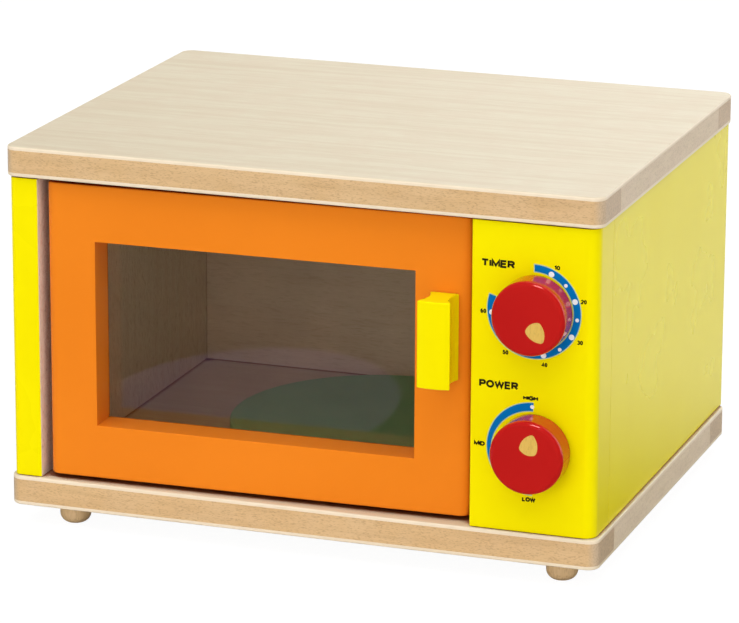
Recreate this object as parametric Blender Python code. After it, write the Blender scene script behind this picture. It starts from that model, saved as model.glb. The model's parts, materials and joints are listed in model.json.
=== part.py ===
# Wooden toy microwave with a swinging door, two turning knobs and a turntable.
# Metres, +Z up, -Y is the front, origin on the ground under the middle of the outer box.
import math

import bmesh
import bpy


# Case
CASE_WIDTH = 0.350
CASE_DEPTH = 0.275
CLEAR_HEIGHT = 0.176
BOARD_THICKNESS = 0.0174
CORNER_RADIUS = 0.007
VENEER_THICKNESS = 0.0022
VENEER_EDGE_ROUND = 0.0008
LIPPING_DEPTH = 0.0345
GLUE_GAP = 0.0003
CUT_OVERRUN = 0.002

# Upright panels
PANEL_THICKNESS = 0.0168
PANEL_END_INSET = 0.0023
PANEL_FRONT_INSET = 0.002
PANEL_REAR_INSET = 0.0003
PANEL_EDGE_ROUND = 0.001
BACK_PANEL_THICKNESS = 0.006
BACK_PANEL_INSET = 0.0082
PARTITION_THICKNESS = 0.010
PARTITION_GAP_TO_CONTROL = 0.0023

# Control panel
CONTROL_WIDTH = 0.0719
CONTROL_THICKNESS = 0.0168
CONTROL_RETURN = 0.028
CONTROL_LEFT_ROUND = 0.0012

# Feet
FOOT_RADIUS = 0.0094
FOOT_HEIGHT = 0.0127
FOOT_EDGE_ROUND = 0.006
FOOT_INSET_X = 0.0288
FOOT_INSET_Y = 0.019
FOOT_ROW_SHIFT = 0.0035
FOOT_SPIGOT_RADIUS = 0.004
FOOT_SPIGOT_LENGTH = 0.006

# Fastenings hidden in the case
DOWEL_RADIUS = 0.004
DOWEL_IN_BOARD = 0.010
DOWEL_IN_PANEL = 0.018
DOWEL_CHAMFER = 0.0008
DOWEL_INSET_Y = 0.052
CASE_SCREW_HEAD_RADIUS = 0.0040
CASE_SCREW_HEAD_DEPTH = 0.0026
CASE_SCREW_SHANK_RADIUS = 0.0019
CASE_SCREW_LENGTH = 0.040
CASE_SCREW_TIP = 0.004
CASE_SCREW_INSET_Y = 0.045
PARTITION_SCREW_INSET_Y = 0.030

# Door
DOOR_LEFT_GAP = 0.0039
DOOR_RIGHT_GAP = 0.0024
DOOR_BOTTOM_GAP = 0.0027
DOOR_TOP_GAP = 0.0019
DOOR_THICKNESS = 0.022
DOOR_FRONT_RECESS = 0.0025
DOOR_SIDE_ROUND = 0.006
DOOR_EDGE_ROUND = 0.001
STILE_LEFT = 0.0294
STILE_RIGHT = 0.0324
RAIL_BOTTOM = 0.0311
RAIL_TOP = 0.0325
DOOR_PRESSED_IN_DEG = 1.2
DOOR_STOP_GAP = 0.0005
PIVOT_FROM_DOOR_EDGE = 0.011

# Window pane and the strips that hold it
PANE_THICKNESS = 0.003
PANE_OVERLAP = 0.008
PANE_CLEARANCE = 0.0003
STRIP_WIDTH = 0.011
STRIP_THICKNESS = 0.0025
STRIP_SETBACK = 0.0015
STRIP_EDGE_ROUND = 0.0006

# Hinge pins, washer and door catch
PIN_RADIUS = 0.002
PIN_IN_BOARD = 0.012
PIN_IN_DOOR = 0.016
PIN_CHAMFER = 0.0005
PIN_CLEARANCE = 0.0003
HINGE_WASHER_RADIUS = 0.005
CATCH_BLOCK_WIDTH = 0.016
CATCH_BLOCK_HEIGHT = 0.020
CATCH_BLOCK_DEPTH = 0.014
CATCH_FROM_DOOR_EDGE = 0.0184
CATCH_FROM_DOOR_TOP = 0.0105
MAGNET_RADIUS = 0.005
MAGNET_LENGTH = 0.006
STRIKER_RADIUS = 0.006
STRIKER_THICKNESS = 0.0015
CATCH_EDGE_ROUND = 0.0003

# Door handle
HANDLE_WIDTH = 0.020
HANDLE_FOOT_WIDTH = 0.016
HANDLE_NECK_WIDTH = 0.0125
HANDLE_NECK_SHARE = 0.42
HANDLE_HEIGHT = 0.0495
HANDLE_DEPTH = 0.0219
HANDLE_CROWN = 0.0012
HANDLE_EDGE_ROUND = 0.0006
HANDLE_FROM_DOOR_EDGE = 0.01555
HANDLE_ABOVE_MIDDLE = 0.0173
HANDLE_SCREW_FROM_END = 0.0105
HANDLE_SCREW_IN_HANDLE = 0.010
HANDLE_SCREW_HEAD_RADIUS = 0.0034
HANDLE_SCREW_HEAD_DEPTH = 0.0022
HANDLE_SCREW_SHANK_RADIUS = 0.0016
HANDLE_SCREW_TIP = 0.003

# Control knobs
KNOB_RADIUS = 0.021
KNOB_LENGTH = 0.0157
KNOB_FRONT_ROUND = 0.0028
KNOB_BACK_ROUND = 0.0006
KNOB_FROM_PANEL_LEFT = 0.0371
TIMER_HEIGHT = 0.1264
POWER_HEIGHT = 0.0479
TIMER_POINTER_DEG = 144.5
POWER_POINTER_DEG = 16.0
TIMER_POINTER_SHIFT = 0.0005
POWER_POINTER_SHIFT = -0.0003
POINTER_TIP_OUT = 0.0150
POINTER_ROOT_OUT = 0.0044
POINTER_HALF_WIDTH = 0.0050
POINTER_BULGE = 0.0018
POINTER_CORNER_ROUND = 0.0012
POINTER_DEPTH = 0.003
KNOB_WASHER_RADIUS = 0.011
KNOB_WASHER_THICKNESS = 0.0006
AXLE_RADIUS = 0.005
AXLE_IN_KNOB = 0.006
AXLE_CLEARANCE = 0.0003
COLLAR_RADIUS = 0.012
COLLAR_LENGTH = 0.007
COLLAR_EDGE_ROUND = 0.001

# Turntable
TURNTABLE_THICKNESS = 0.006
TURNTABLE_EDGE_ROUND = 0.0015
TURNTABLE_LEFT_GAP = 0.0649
TURNTABLE_RIGHT_GAP = 0.0025
TURNTABLE_FRONT_GAP = 0.03465
TURNTABLE_REAR_GAP = 0.02235
TURNTABLE_SKIN = 0.002
HUB_RADIUS = 0.015
HUB_HEIGHT = 0.0024
HUB_EDGE_ROUND = 0.0005
TURN_WASHER_RADIUS = 0.011
TURN_WASHER_THICKNESS = 0.0006
TURN_PIN_RADIUS = 0.004
TURN_PIN_IN_BOARD = 0.011
TURN_PIN_CLEARANCE = 0.0003

# How finely round shapes are cut
ROUND_STEPS = 24
SMALL_ROUND_STEPS = 12
DISC_STEPS = 48
CORNER_STEPS = 5
FOOT_ROUND_STEPS = 7
EDGE_STEPS = 2
MERGE_DISTANCE = 0.000003
SMOOTH_ANGLE = math.radians(35.0)

# Heights above the ground
BASE_BOTTOM = FOOT_HEIGHT
BASE_TOP = BASE_BOTTOM + BOARD_THICKNESS
TOP_BOTTOM = BASE_TOP + CLEAR_HEIGHT
PANEL_BOTTOM = BASE_TOP + GLUE_GAP
PANEL_TOP = TOP_BOTTOM - GLUE_GAP

# Places across and along the case
KNOB_REACH = KNOB_WASHER_THICKNESS + 2 * GLUE_GAP + KNOB_LENGTH
CASE_MIDDLE_Y = (KNOB_REACH - PANEL_FRONT_INSET) / 2
CASE_FRONT = CASE_MIDDLE_Y - CASE_DEPTH / 2
CASE_BACK = CASE_MIDDLE_Y + CASE_DEPTH / 2
PANEL_FRONT = CASE_FRONT + PANEL_FRONT_INSET
PANEL_BACK = CASE_BACK - PANEL_REAR_INSET
PANEL_OUTER_X = CASE_WIDTH / 2 - PANEL_END_INSET
PANEL_INNER_X = PANEL_OUTER_X - PANEL_THICKNESS
PANEL_MIDDLE_X = PANEL_OUTER_X - PANEL_THICKNESS / 2
BACK_PANEL_BACK = PANEL_BACK - BACK_PANEL_INSET
BACK_PANEL_FRONT = BACK_PANEL_BACK - BACK_PANEL_THICKNESS
CONTROL_LEFT = PANEL_OUTER_X - CONTROL_WIDTH
PARTITION_RIGHT = CONTROL_LEFT - PARTITION_GAP_TO_CONTROL
PARTITION_LEFT = PARTITION_RIGHT - PARTITION_THICKNESS
PARTITION_MIDDLE_X = PARTITION_RIGHT - PARTITION_THICKNESS / 2

# Door places, with the door square to the case
DOOR_LEFT = -PANEL_INNER_X + DOOR_LEFT_GAP
DOOR_RIGHT = CONTROL_LEFT - DOOR_RIGHT_GAP
DOOR_BOTTOM = BASE_TOP + DOOR_BOTTOM_GAP
DOOR_TOP = TOP_BOTTOM - DOOR_TOP_GAP
DOOR_FRONT = PANEL_FRONT + DOOR_FRONT_RECESS
DOOR_BACK = DOOR_FRONT + DOOR_THICKNESS
WINDOW_LEFT = DOOR_LEFT + STILE_LEFT
WINDOW_RIGHT = DOOR_RIGHT - STILE_RIGHT
WINDOW_BOTTOM = DOOR_BOTTOM + RAIL_BOTTOM
WINDOW_TOP = DOOR_TOP - RAIL_TOP
HINGE_X = DOOR_LEFT + PIVOT_FROM_DOOR_EDGE
HINGE_Y = DOOR_FRONT + DOOR_THICKNESS / 2
DOOR_PRESSED_IN = math.radians(DOOR_PRESSED_IN_DEG)


def door_back_at(x):
    """Where the pressed-in door's back face crosses the given x."""
    back_from_hinge = DOOR_BACK - HINGE_Y
    along = x - HINGE_X
    return HINGE_Y + back_from_hinge / math.cos(DOOR_PRESSED_IN) + along * math.tan(DOOR_PRESSED_IN)


PARTITION_FRONT = door_back_at(PARTITION_RIGHT) + DOOR_STOP_GAP
PARTITION_BACK = BACK_PANEL_FRONT - GLUE_GAP
TURNTABLE_ROOM_ACROSS = PARTITION_LEFT + PANEL_INNER_X - TURNTABLE_LEFT_GAP - TURNTABLE_RIGHT_GAP
TURNTABLE_ROOM_ALONG = BACK_PANEL_FRONT - DOOR_BACK - TURNTABLE_FRONT_GAP - TURNTABLE_REAR_GAP
TURNTABLE_RADIUS = min(TURNTABLE_ROOM_ACROSS, TURNTABLE_ROOM_ALONG) / 2
TURNTABLE_X = -PANEL_INNER_X + TURNTABLE_LEFT_GAP + TURNTABLE_RADIUS
TURNTABLE_Y = BACK_PANEL_FRONT - TURNTABLE_REAR_GAP - TURNTABLE_RADIUS
HUB_BOTTOM = BASE_TOP + GLUE_GAP
HUB_TOP = HUB_BOTTOM + HUB_HEIGHT
TURN_WASHER_BOTTOM = HUB_TOP + GLUE_GAP
TURNTABLE_BOTTOM = TURN_WASHER_BOTTOM + TURN_WASHER_THICKNESS + GLUE_GAP
KNOB_X = CONTROL_LEFT + KNOB_FROM_PANEL_LEFT
HANDLE_X = DOOR_RIGHT - HANDLE_FROM_DOOR_EDGE
HANDLE_Z = (DOOR_BOTTOM + DOOR_TOP) / 2 + HANDLE_ABOVE_MIDDLE
CATCH_X = DOOR_RIGHT - CATCH_FROM_DOOR_EDGE
CATCH_Z = DOOR_TOP - CATCH_FROM_DOOR_TOP
CATCH_BLOCK_FRONT = door_back_at(CATCH_X + CATCH_BLOCK_WIDTH / 2) + DOOR_STOP_GAP


# Materials
def material(name, colour, roughness, metallic=0.0, see_through=0.0):
    made = bpy.data.materials.new(name)
    made.use_nodes = True
    shader = made.node_tree.nodes["Principled BSDF"]
    shader.inputs["Base Color"].default_value = (*colour, 1.0)
    shader.inputs["Roughness"].default_value = roughness
    shader.inputs["Metallic"].default_value = metallic
    shader.inputs["Transmission Weight"].default_value = see_through
    return made


def make_materials():
    return {
        "birch": material("birch veneer", (0.84, 0.72, 0.54), 0.40),
        "beech": material("beech", (0.74, 0.52, 0.34), 0.45),
        "core": material("board core", (0.60, 0.49, 0.40), 0.60),
        "plain": material("plain panel wood", (0.66, 0.52, 0.42), 0.50),
        "yellow": material("yellow paint", (0.98, 0.85, 0.01), 0.30),
        "orange": material("orange paint", (0.90, 0.26, 0.02), 0.28),
        "red": material("red paint", (0.62, 0.015, 0.02), 0.15),
        "green": material("green paint", (0.10, 0.34, 0.17), 0.35),
        "smoke": material("smoked acrylic", (0.16, 0.12, 0.10), 0.04, see_through=0.9),
        "steel": material("steel", (0.60, 0.60, 0.62), 0.25, metallic=1.0),
        "felt": material("felt", (0.10, 0.10, 0.11), 0.95),
        "inlay": material("light inlay wood", (0.80, 0.48, 0.16), 0.35),
    }


# Making, placing and cutting pieces
def clear_scene():
    for old in list(bpy.data.objects):
        bpy.data.objects.remove(old, do_unlink=True)


def finish(name, shape, finish_material, place=(0.0, 0.0, 0.0), turn=(0.0, 0.0, 0.0), parent=None):
    """Turn a bmesh into a named object; place is in world axes, before the parent's own turn."""
    bmesh.ops.remove_doubles(shape, verts=shape.verts, dist=MERGE_DISTANCE)
    bmesh.ops.recalc_face_normals(shape, faces=shape.faces)
    mesh = bpy.data.meshes.new(name)
    shape.to_mesh(mesh)
    shape.free()
    mesh.shade_smooth()
    mesh.set_sharp_from_angle(angle=SMOOTH_ANGLE)
    piece = bpy.data.objects.new(name, mesh)
    bpy.context.scene.collection.objects.link(piece)
    if finish_material is not None:
        mesh.materials.append(finish_material)
    piece.rotation_euler = turn
    piece.location = place
    if parent is not None:
        piece.parent = parent
        piece.location = [here - there for here, there in zip(place, parent.location)]
    return piece


def cut(targets, cutter):
    """Take the cutter's shape out of every target."""
    cutter.hide_render = True
    cutter.display_type = "WIRE"
    for target in targets:
        hole = target.modifiers.new(cutter.name, "BOOLEAN")
        hole.operation = "DIFFERENCE"
        hole.solver = "EXACT"
        hole.object = cutter


def block_shape(low, high, corner_round=0.0, rounded=None, edge_round=0.0, faces=("top", "bottom")):
    """A box whose chosen upright edges are rounded, then the rims of the chosen end faces."""
    shape = bmesh.new()
    bmesh.ops.create_cube(shape, size=1.0)
    size = [b - a for a, b in zip(low, high)]
    middle = [(a + b) / 2 for a, b in zip(low, high)]
    bmesh.ops.scale(shape, vec=size, verts=shape.verts)
    bmesh.ops.translate(shape, vec=middle, verts=shape.verts)
    if corner_round:
        round_uprights(shape, middle, corner_round, rounded)
    if edge_round:
        round_rims(shape, edge_round, faces)
    return shape


def round_uprights(shape, middle, radius, rounded):
    """Round the upright edges whose side letters, such as FL for front left, are in rounded."""
    chosen = []
    for edge in shape.edges:
        first, second = edge.verts
        if abs(first.co.x - second.co.x) + abs(first.co.y - second.co.y) > GLUE_GAP:
            continue
        corner = ("F" if first.co.y < middle[1] else "B") + ("L" if first.co.x < middle[0] else "R")
        if rounded is None or corner in rounded:
            chosen.append(edge)
    bmesh.ops.bevel(shape, geom=chosen, offset=radius, segments=CORNER_STEPS, profile=0.5, affect="EDGES")


def round_rims(shape, radius, faces):
    shape.normal_update()
    rims = set()
    for face in shape.faces:
        is_top = face.normal.z > 0.9 and "top" in faces
        is_bottom = face.normal.z < -0.9 and "bottom" in faces
        if is_top or is_bottom:
            rims.update(face.edges)
    bmesh.ops.bevel(shape, geom=list(rims), offset=radius, segments=EDGE_STEPS, profile=0.5, affect="EDGES")


def turned_shape(profile, steps=ROUND_STEPS):
    """Spin (radius, height) points about Z; the profile starts and ends on the axis."""
    shape = bmesh.new()
    last = None
    for radius, height in profile:
        point = shape.verts.new((radius, 0.0, height))
        if last is not None:
            shape.edges.new((last, point))
        last = point
    bmesh.ops.spin(
        shape, geom=shape.verts[:] + shape.edges[:], axis=(0, 0, 1), cent=(0, 0, 0),
        angle=2 * math.pi, steps=steps, use_merge=True,
    )
    bmesh.ops.remove_doubles(shape, verts=shape.verts, dist=MERGE_DISTANCE)
    return shape


def ring_shape(outer, inner, height, edge_round, steps=ROUND_STEPS):
    """A washer or collar with its outer rims eased, built as one loop spun about Z."""
    shape = bmesh.new()
    loop = [
        (inner, 0.0), (outer - edge_round, 0.0), (outer, edge_round),
        (outer, height - edge_round), (outer - edge_round, height), (inner, height),
    ]
    points = [shape.verts.new((radius, 0.0, rise)) for radius, rise in loop]
    for index, point in enumerate(points):
        shape.edges.new((point, points[(index + 1) % len(points)]))
    bmesh.ops.spin(
        shape, geom=shape.verts[:] + shape.edges[:], axis=(0, 0, 1), cent=(0, 0, 0),
        angle=2 * math.pi, steps=steps, use_merge=True,
    )
    return shape


def rod_profile(radius, length, chamfer):
    return [
        (0.0, 0.0), (radius - chamfer, 0.0), (radius, chamfer),
        (radius, length - chamfer), (radius - chamfer, length), (0.0, length),
    ]


def hole_profile(radius, low, high):
    return [(0.0, low), (radius, low), (radius, high), (0.0, high)]


def arc(middle, radius, start_deg, end_deg, steps):
    """Points of an arc as (radius, height) or (x, y) pairs."""
    made = []
    for step in range(steps + 1):
        angle = math.radians(start_deg + (end_deg - start_deg) * step / steps)
        made.append((middle[0] + radius * math.cos(angle), middle[1] + radius * math.sin(angle)))
    return made


def prism_shape(outline, low, high):
    """An outline in x and y, pushed up from low to high."""
    shape = bmesh.new()
    floor = [shape.verts.new((x, y, low)) for x, y in outline]
    face = shape.faces.new(floor)
    grown = bmesh.ops.extrude_face_region(shape, geom=[face])
    lifted = [item for item in grown["geom"] if isinstance(item, bmesh.types.BMVert)]
    bmesh.ops.translate(shape, vec=(0, 0, high - low), verts=lifted)
    return shape


def hole(targets, name, place, radius, low, high, turn=(0.0, 0.0, 0.0), parent=None, steps=SMALL_ROUND_STEPS):
    cutter = finish(name, turned_shape(hole_profile(radius, low, high), steps), None, place, turn, parent)
    cut(targets, cutter)


# Top and base boards
def make_board(prefix, bottom, paint):
    """A lipped board: core, front and rear lipping, and a veneer on each face."""
    half = CASE_WIDTH / 2
    top = bottom + BOARD_THICKNESS
    inner_bottom = bottom + VENEER_THICKNESS + GLUE_GAP
    inner_top = top - VENEER_THICKNESS - GLUE_GAP
    lip_back = CASE_FRONT + LIPPING_DEPTH
    lip_front = CASE_BACK - LIPPING_DEPTH
    pieces = {}
    core = block_shape(
        (-half, lip_back + GLUE_GAP, inner_bottom), (half, lip_front - GLUE_GAP, inner_top))
    pieces["core"] = finish(prefix + "_core", core, paint["core"])
    front = block_shape(
        (-half, CASE_FRONT, inner_bottom), (half, lip_back, inner_top),
        CORNER_RADIUS, ("FL", "FR"))
    pieces["front_lipping"] = finish(prefix + "_front_lipping", front, paint["beech"])
    rear = block_shape(
        (-half, lip_front, inner_bottom), (half, CASE_BACK, inner_top),
        CORNER_RADIUS, ("BL", "BR"))
    pieces["rear_lipping"] = finish(prefix + "_rear_lipping", rear, paint["beech"])
    upper = block_shape(
        (-half, CASE_FRONT, top - VENEER_THICKNESS), (half, CASE_BACK, top),
        CORNER_RADIUS, None, VENEER_EDGE_ROUND, ("top",))
    pieces["upper_veneer"] = finish(prefix + "_upper_veneer", upper, paint["birch"])
    lower = block_shape(
        (-half, CASE_FRONT, bottom), (half, CASE_BACK, bottom + VENEER_THICKNESS),
        CORNER_RADIUS, None, VENEER_EDGE_ROUND, ("bottom",))
    pieces["lower_veneer"] = finish(prefix + "_lower_veneer", lower, paint["birch"])
    return pieces


# Upright panels
def make_side_panels(paint):
    left = block_shape(
        (-PANEL_OUTER_X, PANEL_FRONT, PANEL_BOTTOM), (-PANEL_INNER_X, PANEL_BACK, PANEL_TOP),
        PANEL_EDGE_ROUND)
    right = block_shape(
        (PANEL_INNER_X, PANEL_FRONT + CONTROL_RETURN + GLUE_GAP, PANEL_BOTTOM),
        (PANEL_OUTER_X, PANEL_BACK, PANEL_TOP),
        PANEL_EDGE_ROUND, ("BL", "BR"))
    partition = block_shape(
        (PARTITION_LEFT, PARTITION_FRONT, PANEL_BOTTOM), (PARTITION_RIGHT, PARTITION_BACK, PANEL_TOP),
        PANEL_EDGE_ROUND, ("FL", "FR"))
    back = block_shape(
        (-PANEL_INNER_X + GLUE_GAP, BACK_PANEL_FRONT, PANEL_BOTTOM),
        (PANEL_INNER_X - GLUE_GAP, BACK_PANEL_BACK, PANEL_TOP))
    return {
        "left": finish("left_side_panel", left, paint["yellow"]),
        "right": finish("right_side_panel", right, paint["yellow"]),
        "partition": finish("partition_panel", partition, paint["plain"]),
        "back": finish("back_panel", back, paint["plain"]),
    }


def make_control_panel(paint):
    """The front board of the control side, with a return round its outer corner."""
    back = PANEL_FRONT + CONTROL_THICKNESS
    outline = [
        (CONTROL_LEFT, PANEL_FRONT), (PANEL_OUTER_X, PANEL_FRONT),
        (PANEL_OUTER_X, PANEL_FRONT + CONTROL_RETURN), (PANEL_INNER_X, PANEL_FRONT + CONTROL_RETURN),
        (PANEL_INNER_X, back), (CONTROL_LEFT, back),
    ]
    shape = prism_shape(outline, PANEL_BOTTOM, PANEL_TOP)
    for x, radius in ((PANEL_OUTER_X, CORNER_RADIUS), (CONTROL_LEFT, CONTROL_LEFT_ROUND)):
        corner = [
            edge for edge in shape.edges
            if all(abs(v.co.x - x) < GLUE_GAP and abs(v.co.y - PANEL_FRONT) < GLUE_GAP for v in edge.verts)
        ]
        bmesh.ops.bevel(shape, geom=corner, offset=radius, segments=CORNER_STEPS, profile=0.5, affect="EDGES")
    return finish("control_panel", shape, paint["yellow"])


# Feet
def foot_profile():
    """A round button with a softly rounded bottom, on a spigot, from the ground up."""
    middle = (FOOT_RADIUS - FOOT_EDGE_ROUND, FOOT_EDGE_ROUND)
    profile = [(0.0, 0.0)] + arc(middle, FOOT_EDGE_ROUND, -90.0, 0.0, FOOT_ROUND_STEPS)
    shoulder = FOOT_HEIGHT - GLUE_GAP
    spigot_top = shoulder + FOOT_SPIGOT_LENGTH
    return profile + [
        (FOOT_RADIUS, shoulder), (FOOT_SPIGOT_RADIUS, shoulder),
        (FOOT_SPIGOT_RADIUS, spigot_top), (0.0, spigot_top),
    ]


def make_feet(base, paint):
    across = CASE_WIDTH / 2 - FOOT_INSET_X
    rows = {"front": CASE_FRONT + FOOT_INSET_Y, "rear": CASE_BACK - FOOT_INSET_Y}
    columns = {"left": FOOT_ROW_SHIFT - across, "right": FOOT_ROW_SHIFT + across}
    for row, y in rows.items():
        targets = [base["lower_veneer"], base[row + "_lipping"]]
        for column, x in columns.items():
            name = "_".join(("foot", row, column))
            finish(name, turned_shape(foot_profile()), paint["beech"], (x, y, 0.0))
            depth = FOOT_HEIGHT + FOOT_SPIGOT_LENGTH
            hole(targets, name + "_hole", (x, y, 0.0), FOOT_SPIGOT_RADIUS + GLUE_GAP,
                 BASE_BOTTOM - CUT_OVERRUN, depth)


# Dowels in the top and screws through the base
def make_top_dowels(top, panels, paint):
    low = TOP_BOTTOM - DOWEL_IN_PANEL
    length = DOWEL_IN_PANEL + DOWEL_IN_BOARD
    front = PANEL_FRONT + DOWEL_INSET_Y
    rear = PANEL_BACK - DOWEL_INSET_Y
    for side, x in (("left", -PANEL_MIDDLE_X), ("right", PANEL_MIDDLE_X)):
        targets = [panels[side], top["lower_veneer"], top["core"]]
        for row, y in (("front", front), ("rear", rear)):
            name = "_".join(("top_dowel", side, row))
            shape = turned_shape(rod_profile(DOWEL_RADIUS, length, DOWEL_CHAMFER), SMALL_ROUND_STEPS)
            finish(name, shape, paint["beech"], (x, y, low))
            hole(targets, name + "_hole", (x, y, low), DOWEL_RADIUS + GLUE_GAP, -GLUE_GAP, length + GLUE_GAP)


def screw_profile(head_radius, head_depth, shank_radius, length, tip, grow=0.0, overrun=0.0):
    """A countersunk screw, head end first; grow and overrun turn it into its own hole."""
    profile = [(0.0, -overrun), (head_radius + grow, -overrun)]
    if overrun:
        profile.append((head_radius + grow, 0.0))
    profile += [
        (shank_radius + grow, head_depth + grow), (shank_radius + grow, length - tip + grow),
        (0.0, length + grow),
    ]
    return profile


def make_screw(name, place, turn, sizes, targets, paint, parent=None):
    shape = turned_shape(screw_profile(*sizes), SMALL_ROUND_STEPS)
    finish(name, shape, paint["steel"], place, turn, parent)
    room = turned_shape(screw_profile(*sizes, GLUE_GAP, CUT_OVERRUN), SMALL_ROUND_STEPS)
    cut(targets, finish(name + "_hole", room, None, place, turn, parent))


def make_base_screws(base, panels, paint):
    sizes = (CASE_SCREW_HEAD_RADIUS, CASE_SCREW_HEAD_DEPTH, CASE_SCREW_SHANK_RADIUS,
             CASE_SCREW_LENGTH, CASE_SCREW_TIP)
    rows = {
        "left": (-PANEL_MIDDLE_X, PANEL_FRONT + CASE_SCREW_INSET_Y, PANEL_BACK - CASE_SCREW_INSET_Y),
        "right": (PANEL_MIDDLE_X, PANEL_FRONT + CASE_SCREW_INSET_Y, PANEL_BACK - CASE_SCREW_INSET_Y),
        "partition": (PARTITION_MIDDLE_X, PARTITION_FRONT + PARTITION_SCREW_INSET_Y,
                      PARTITION_BACK - PARTITION_SCREW_INSET_Y),
    }
    boards = [base["lower_veneer"], base["core"], base["upper_veneer"]]
    for side, (x, front, rear) in rows.items():
        for row, y in (("front", front), ("rear", rear)):
            name = "_".join(("base_screw", side, row))
            place = (x, y, BASE_BOTTOM + GLUE_GAP)
            make_screw(name, place, (0.0, 0.0, 0.0), sizes, boards + [panels[side]], paint)


# Door
def make_hinge_empty():
    hinge = bpy.data.objects.new("door_hinge_axis", None)
    bpy.context.scene.collection.objects.link(hinge)
    hinge.location = (HINGE_X, HINGE_Y, 0.0)
    hinge.rotation_euler = (0.0, 0.0, DOOR_PRESSED_IN)
    return hinge


def in_hinge_axes(low, high):
    """A box's corners, counted from the hinge axis."""
    shift = (HINGE_X, HINGE_Y, 0.0)
    return [a - s for a, s in zip(low, shift)], [b - s for b, s in zip(high, shift)]


def door_block(name, low, high, hinge, finish_material, **rounding):
    low, high = in_hinge_axes(low, high)
    shape = block_shape(low, high, **rounding)
    return finish(name, shape, finish_material, (HINGE_X, HINGE_Y, 0.0), parent=hinge)


def make_door(hinge, paint):
    frame = door_block(
        "door_frame", (DOOR_LEFT, DOOR_FRONT, DOOR_BOTTOM), (DOOR_RIGHT, DOOR_BACK, DOOR_TOP),
        hinge, paint["orange"], corner_round=DOOR_SIDE_ROUND, edge_round=DOOR_EDGE_ROUND)
    window = door_block(
        "window_cutter", (WINDOW_LEFT, DOOR_FRONT - CUT_OVERRUN, WINDOW_BOTTOM),
        (WINDOW_RIGHT, DOOR_BACK + CUT_OVERRUN, WINDOW_TOP), hinge, None)
    cut([frame], window)
    reach = PANE_OVERLAP + PANE_CLEARANCE
    rebate = door_block(
        "pane_rebate_cutter",
        (WINDOW_LEFT - reach, DOOR_BACK - PANE_THICKNESS - PANE_CLEARANCE, WINDOW_BOTTOM - reach),
        (WINDOW_RIGHT + reach, DOOR_BACK + CUT_OVERRUN, WINDOW_TOP + reach), hinge, None)
    cut([frame], rebate)
    door_block(
        "window_pane",
        (WINDOW_LEFT - PANE_OVERLAP, DOOR_BACK - PANE_THICKNESS, WINDOW_BOTTOM - PANE_OVERLAP),
        (WINDOW_RIGHT + PANE_OVERLAP, DOOR_BACK, WINDOW_TOP + PANE_OVERLAP), hinge, paint["smoke"])
    return frame


def make_pane_strips(hinge, paint):
    """Four flat strips glued over the pane's edge and onto the back of the frame."""
    near = DOOR_BACK + GLUE_GAP
    far = near + STRIP_THICKNESS
    left = WINDOW_LEFT - STRIP_SETBACK
    right = WINDOW_RIGHT + STRIP_SETBACK
    bottom = WINDOW_BOTTOM - STRIP_SETBACK
    top = WINDOW_TOP + STRIP_SETBACK
    ends = {
        "top": ((left - STRIP_WIDTH, top), (right + STRIP_WIDTH, top + STRIP_WIDTH)),
        "bottom": ((left - STRIP_WIDTH, bottom - STRIP_WIDTH), (right + STRIP_WIDTH, bottom)),
        "left": ((left - STRIP_WIDTH, bottom + GLUE_GAP), (left, top - GLUE_GAP)),
        "right": ((right, bottom + GLUE_GAP), (right + STRIP_WIDTH, top - GLUE_GAP)),
    }
    for side, ((x_low, z_low), (x_high, z_high)) in ends.items():
        door_block("pane_strip_" + side, (x_low, near, z_low), (x_high, far, z_high),
                   hinge, paint["orange"], edge_round=STRIP_EDGE_ROUND)


def handle_outline():
    """Half-width against depth, mirrored: a crowned front, coved flanks and a foot on the door."""
    foot = HANDLE_FOOT_WIDTH / 2
    neck = HANDLE_NECK_WIDTH / 2
    front = HANDLE_WIDTH / 2
    neck_depth = HANDLE_DEPTH * HANDLE_NECK_SHARE
    shoulder_depth = HANDLE_DEPTH - HANDLE_CROWN
    flank = []
    for step in range(CORNER_STEPS + 1):
        share = step / CORNER_STEPS
        flank.append((neck + (foot - neck) * (1 - math.sin(share * math.pi / 2)), neck_depth * share))
    for step in range(1, CORNER_STEPS + 1):
        share = step / CORNER_STEPS
        width = neck + (front - neck) * (1 - math.cos(share * math.pi / 2))
        flank.append((width, neck_depth + (shoulder_depth - neck_depth) * share))
    crown = []
    for step in range(1, CORNER_STEPS):
        share = step / CORNER_STEPS
        crown.append((front * (1 - 2 * share), shoulder_depth + HANDLE_CROWN * math.sin(share * math.pi)))
    right = [(half, -depth) for half, depth in flank]
    left = [(-half, -depth) for half, depth in reversed(flank)]
    return right + [(half, -depth) for half, depth in crown] + left


def make_handle(frame, hinge, paint):
    place = (HANDLE_X, DOOR_FRONT - GLUE_GAP, HANDLE_Z - HANDLE_HEIGHT / 2)
    shape = prism_shape(handle_outline(), 0.0, HANDLE_HEIGHT)
    round_rims(shape, HANDLE_EDGE_ROUND, ("top", "bottom"))
    handle = finish("door_handle", shape, paint["yellow"], place, parent=hinge)
    length = DOOR_THICKNESS + HANDLE_SCREW_IN_HANDLE
    sizes = (HANDLE_SCREW_HEAD_RADIUS, HANDLE_SCREW_HEAD_DEPTH, HANDLE_SCREW_SHANK_RADIUS,
             length, HANDLE_SCREW_TIP)
    for name, side in (("handle_screw_upper", 1), ("handle_screw_lower", -1)):
        z = HANDLE_Z + side * (HANDLE_HEIGHT / 2 - HANDLE_SCREW_FROM_END)
        make_screw(name, (HANDLE_X, DOOR_BACK - GLUE_GAP, z), (math.pi / 2, 0.0, 0.0), sizes,
                   [frame, handle], paint, parent=hinge)


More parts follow.
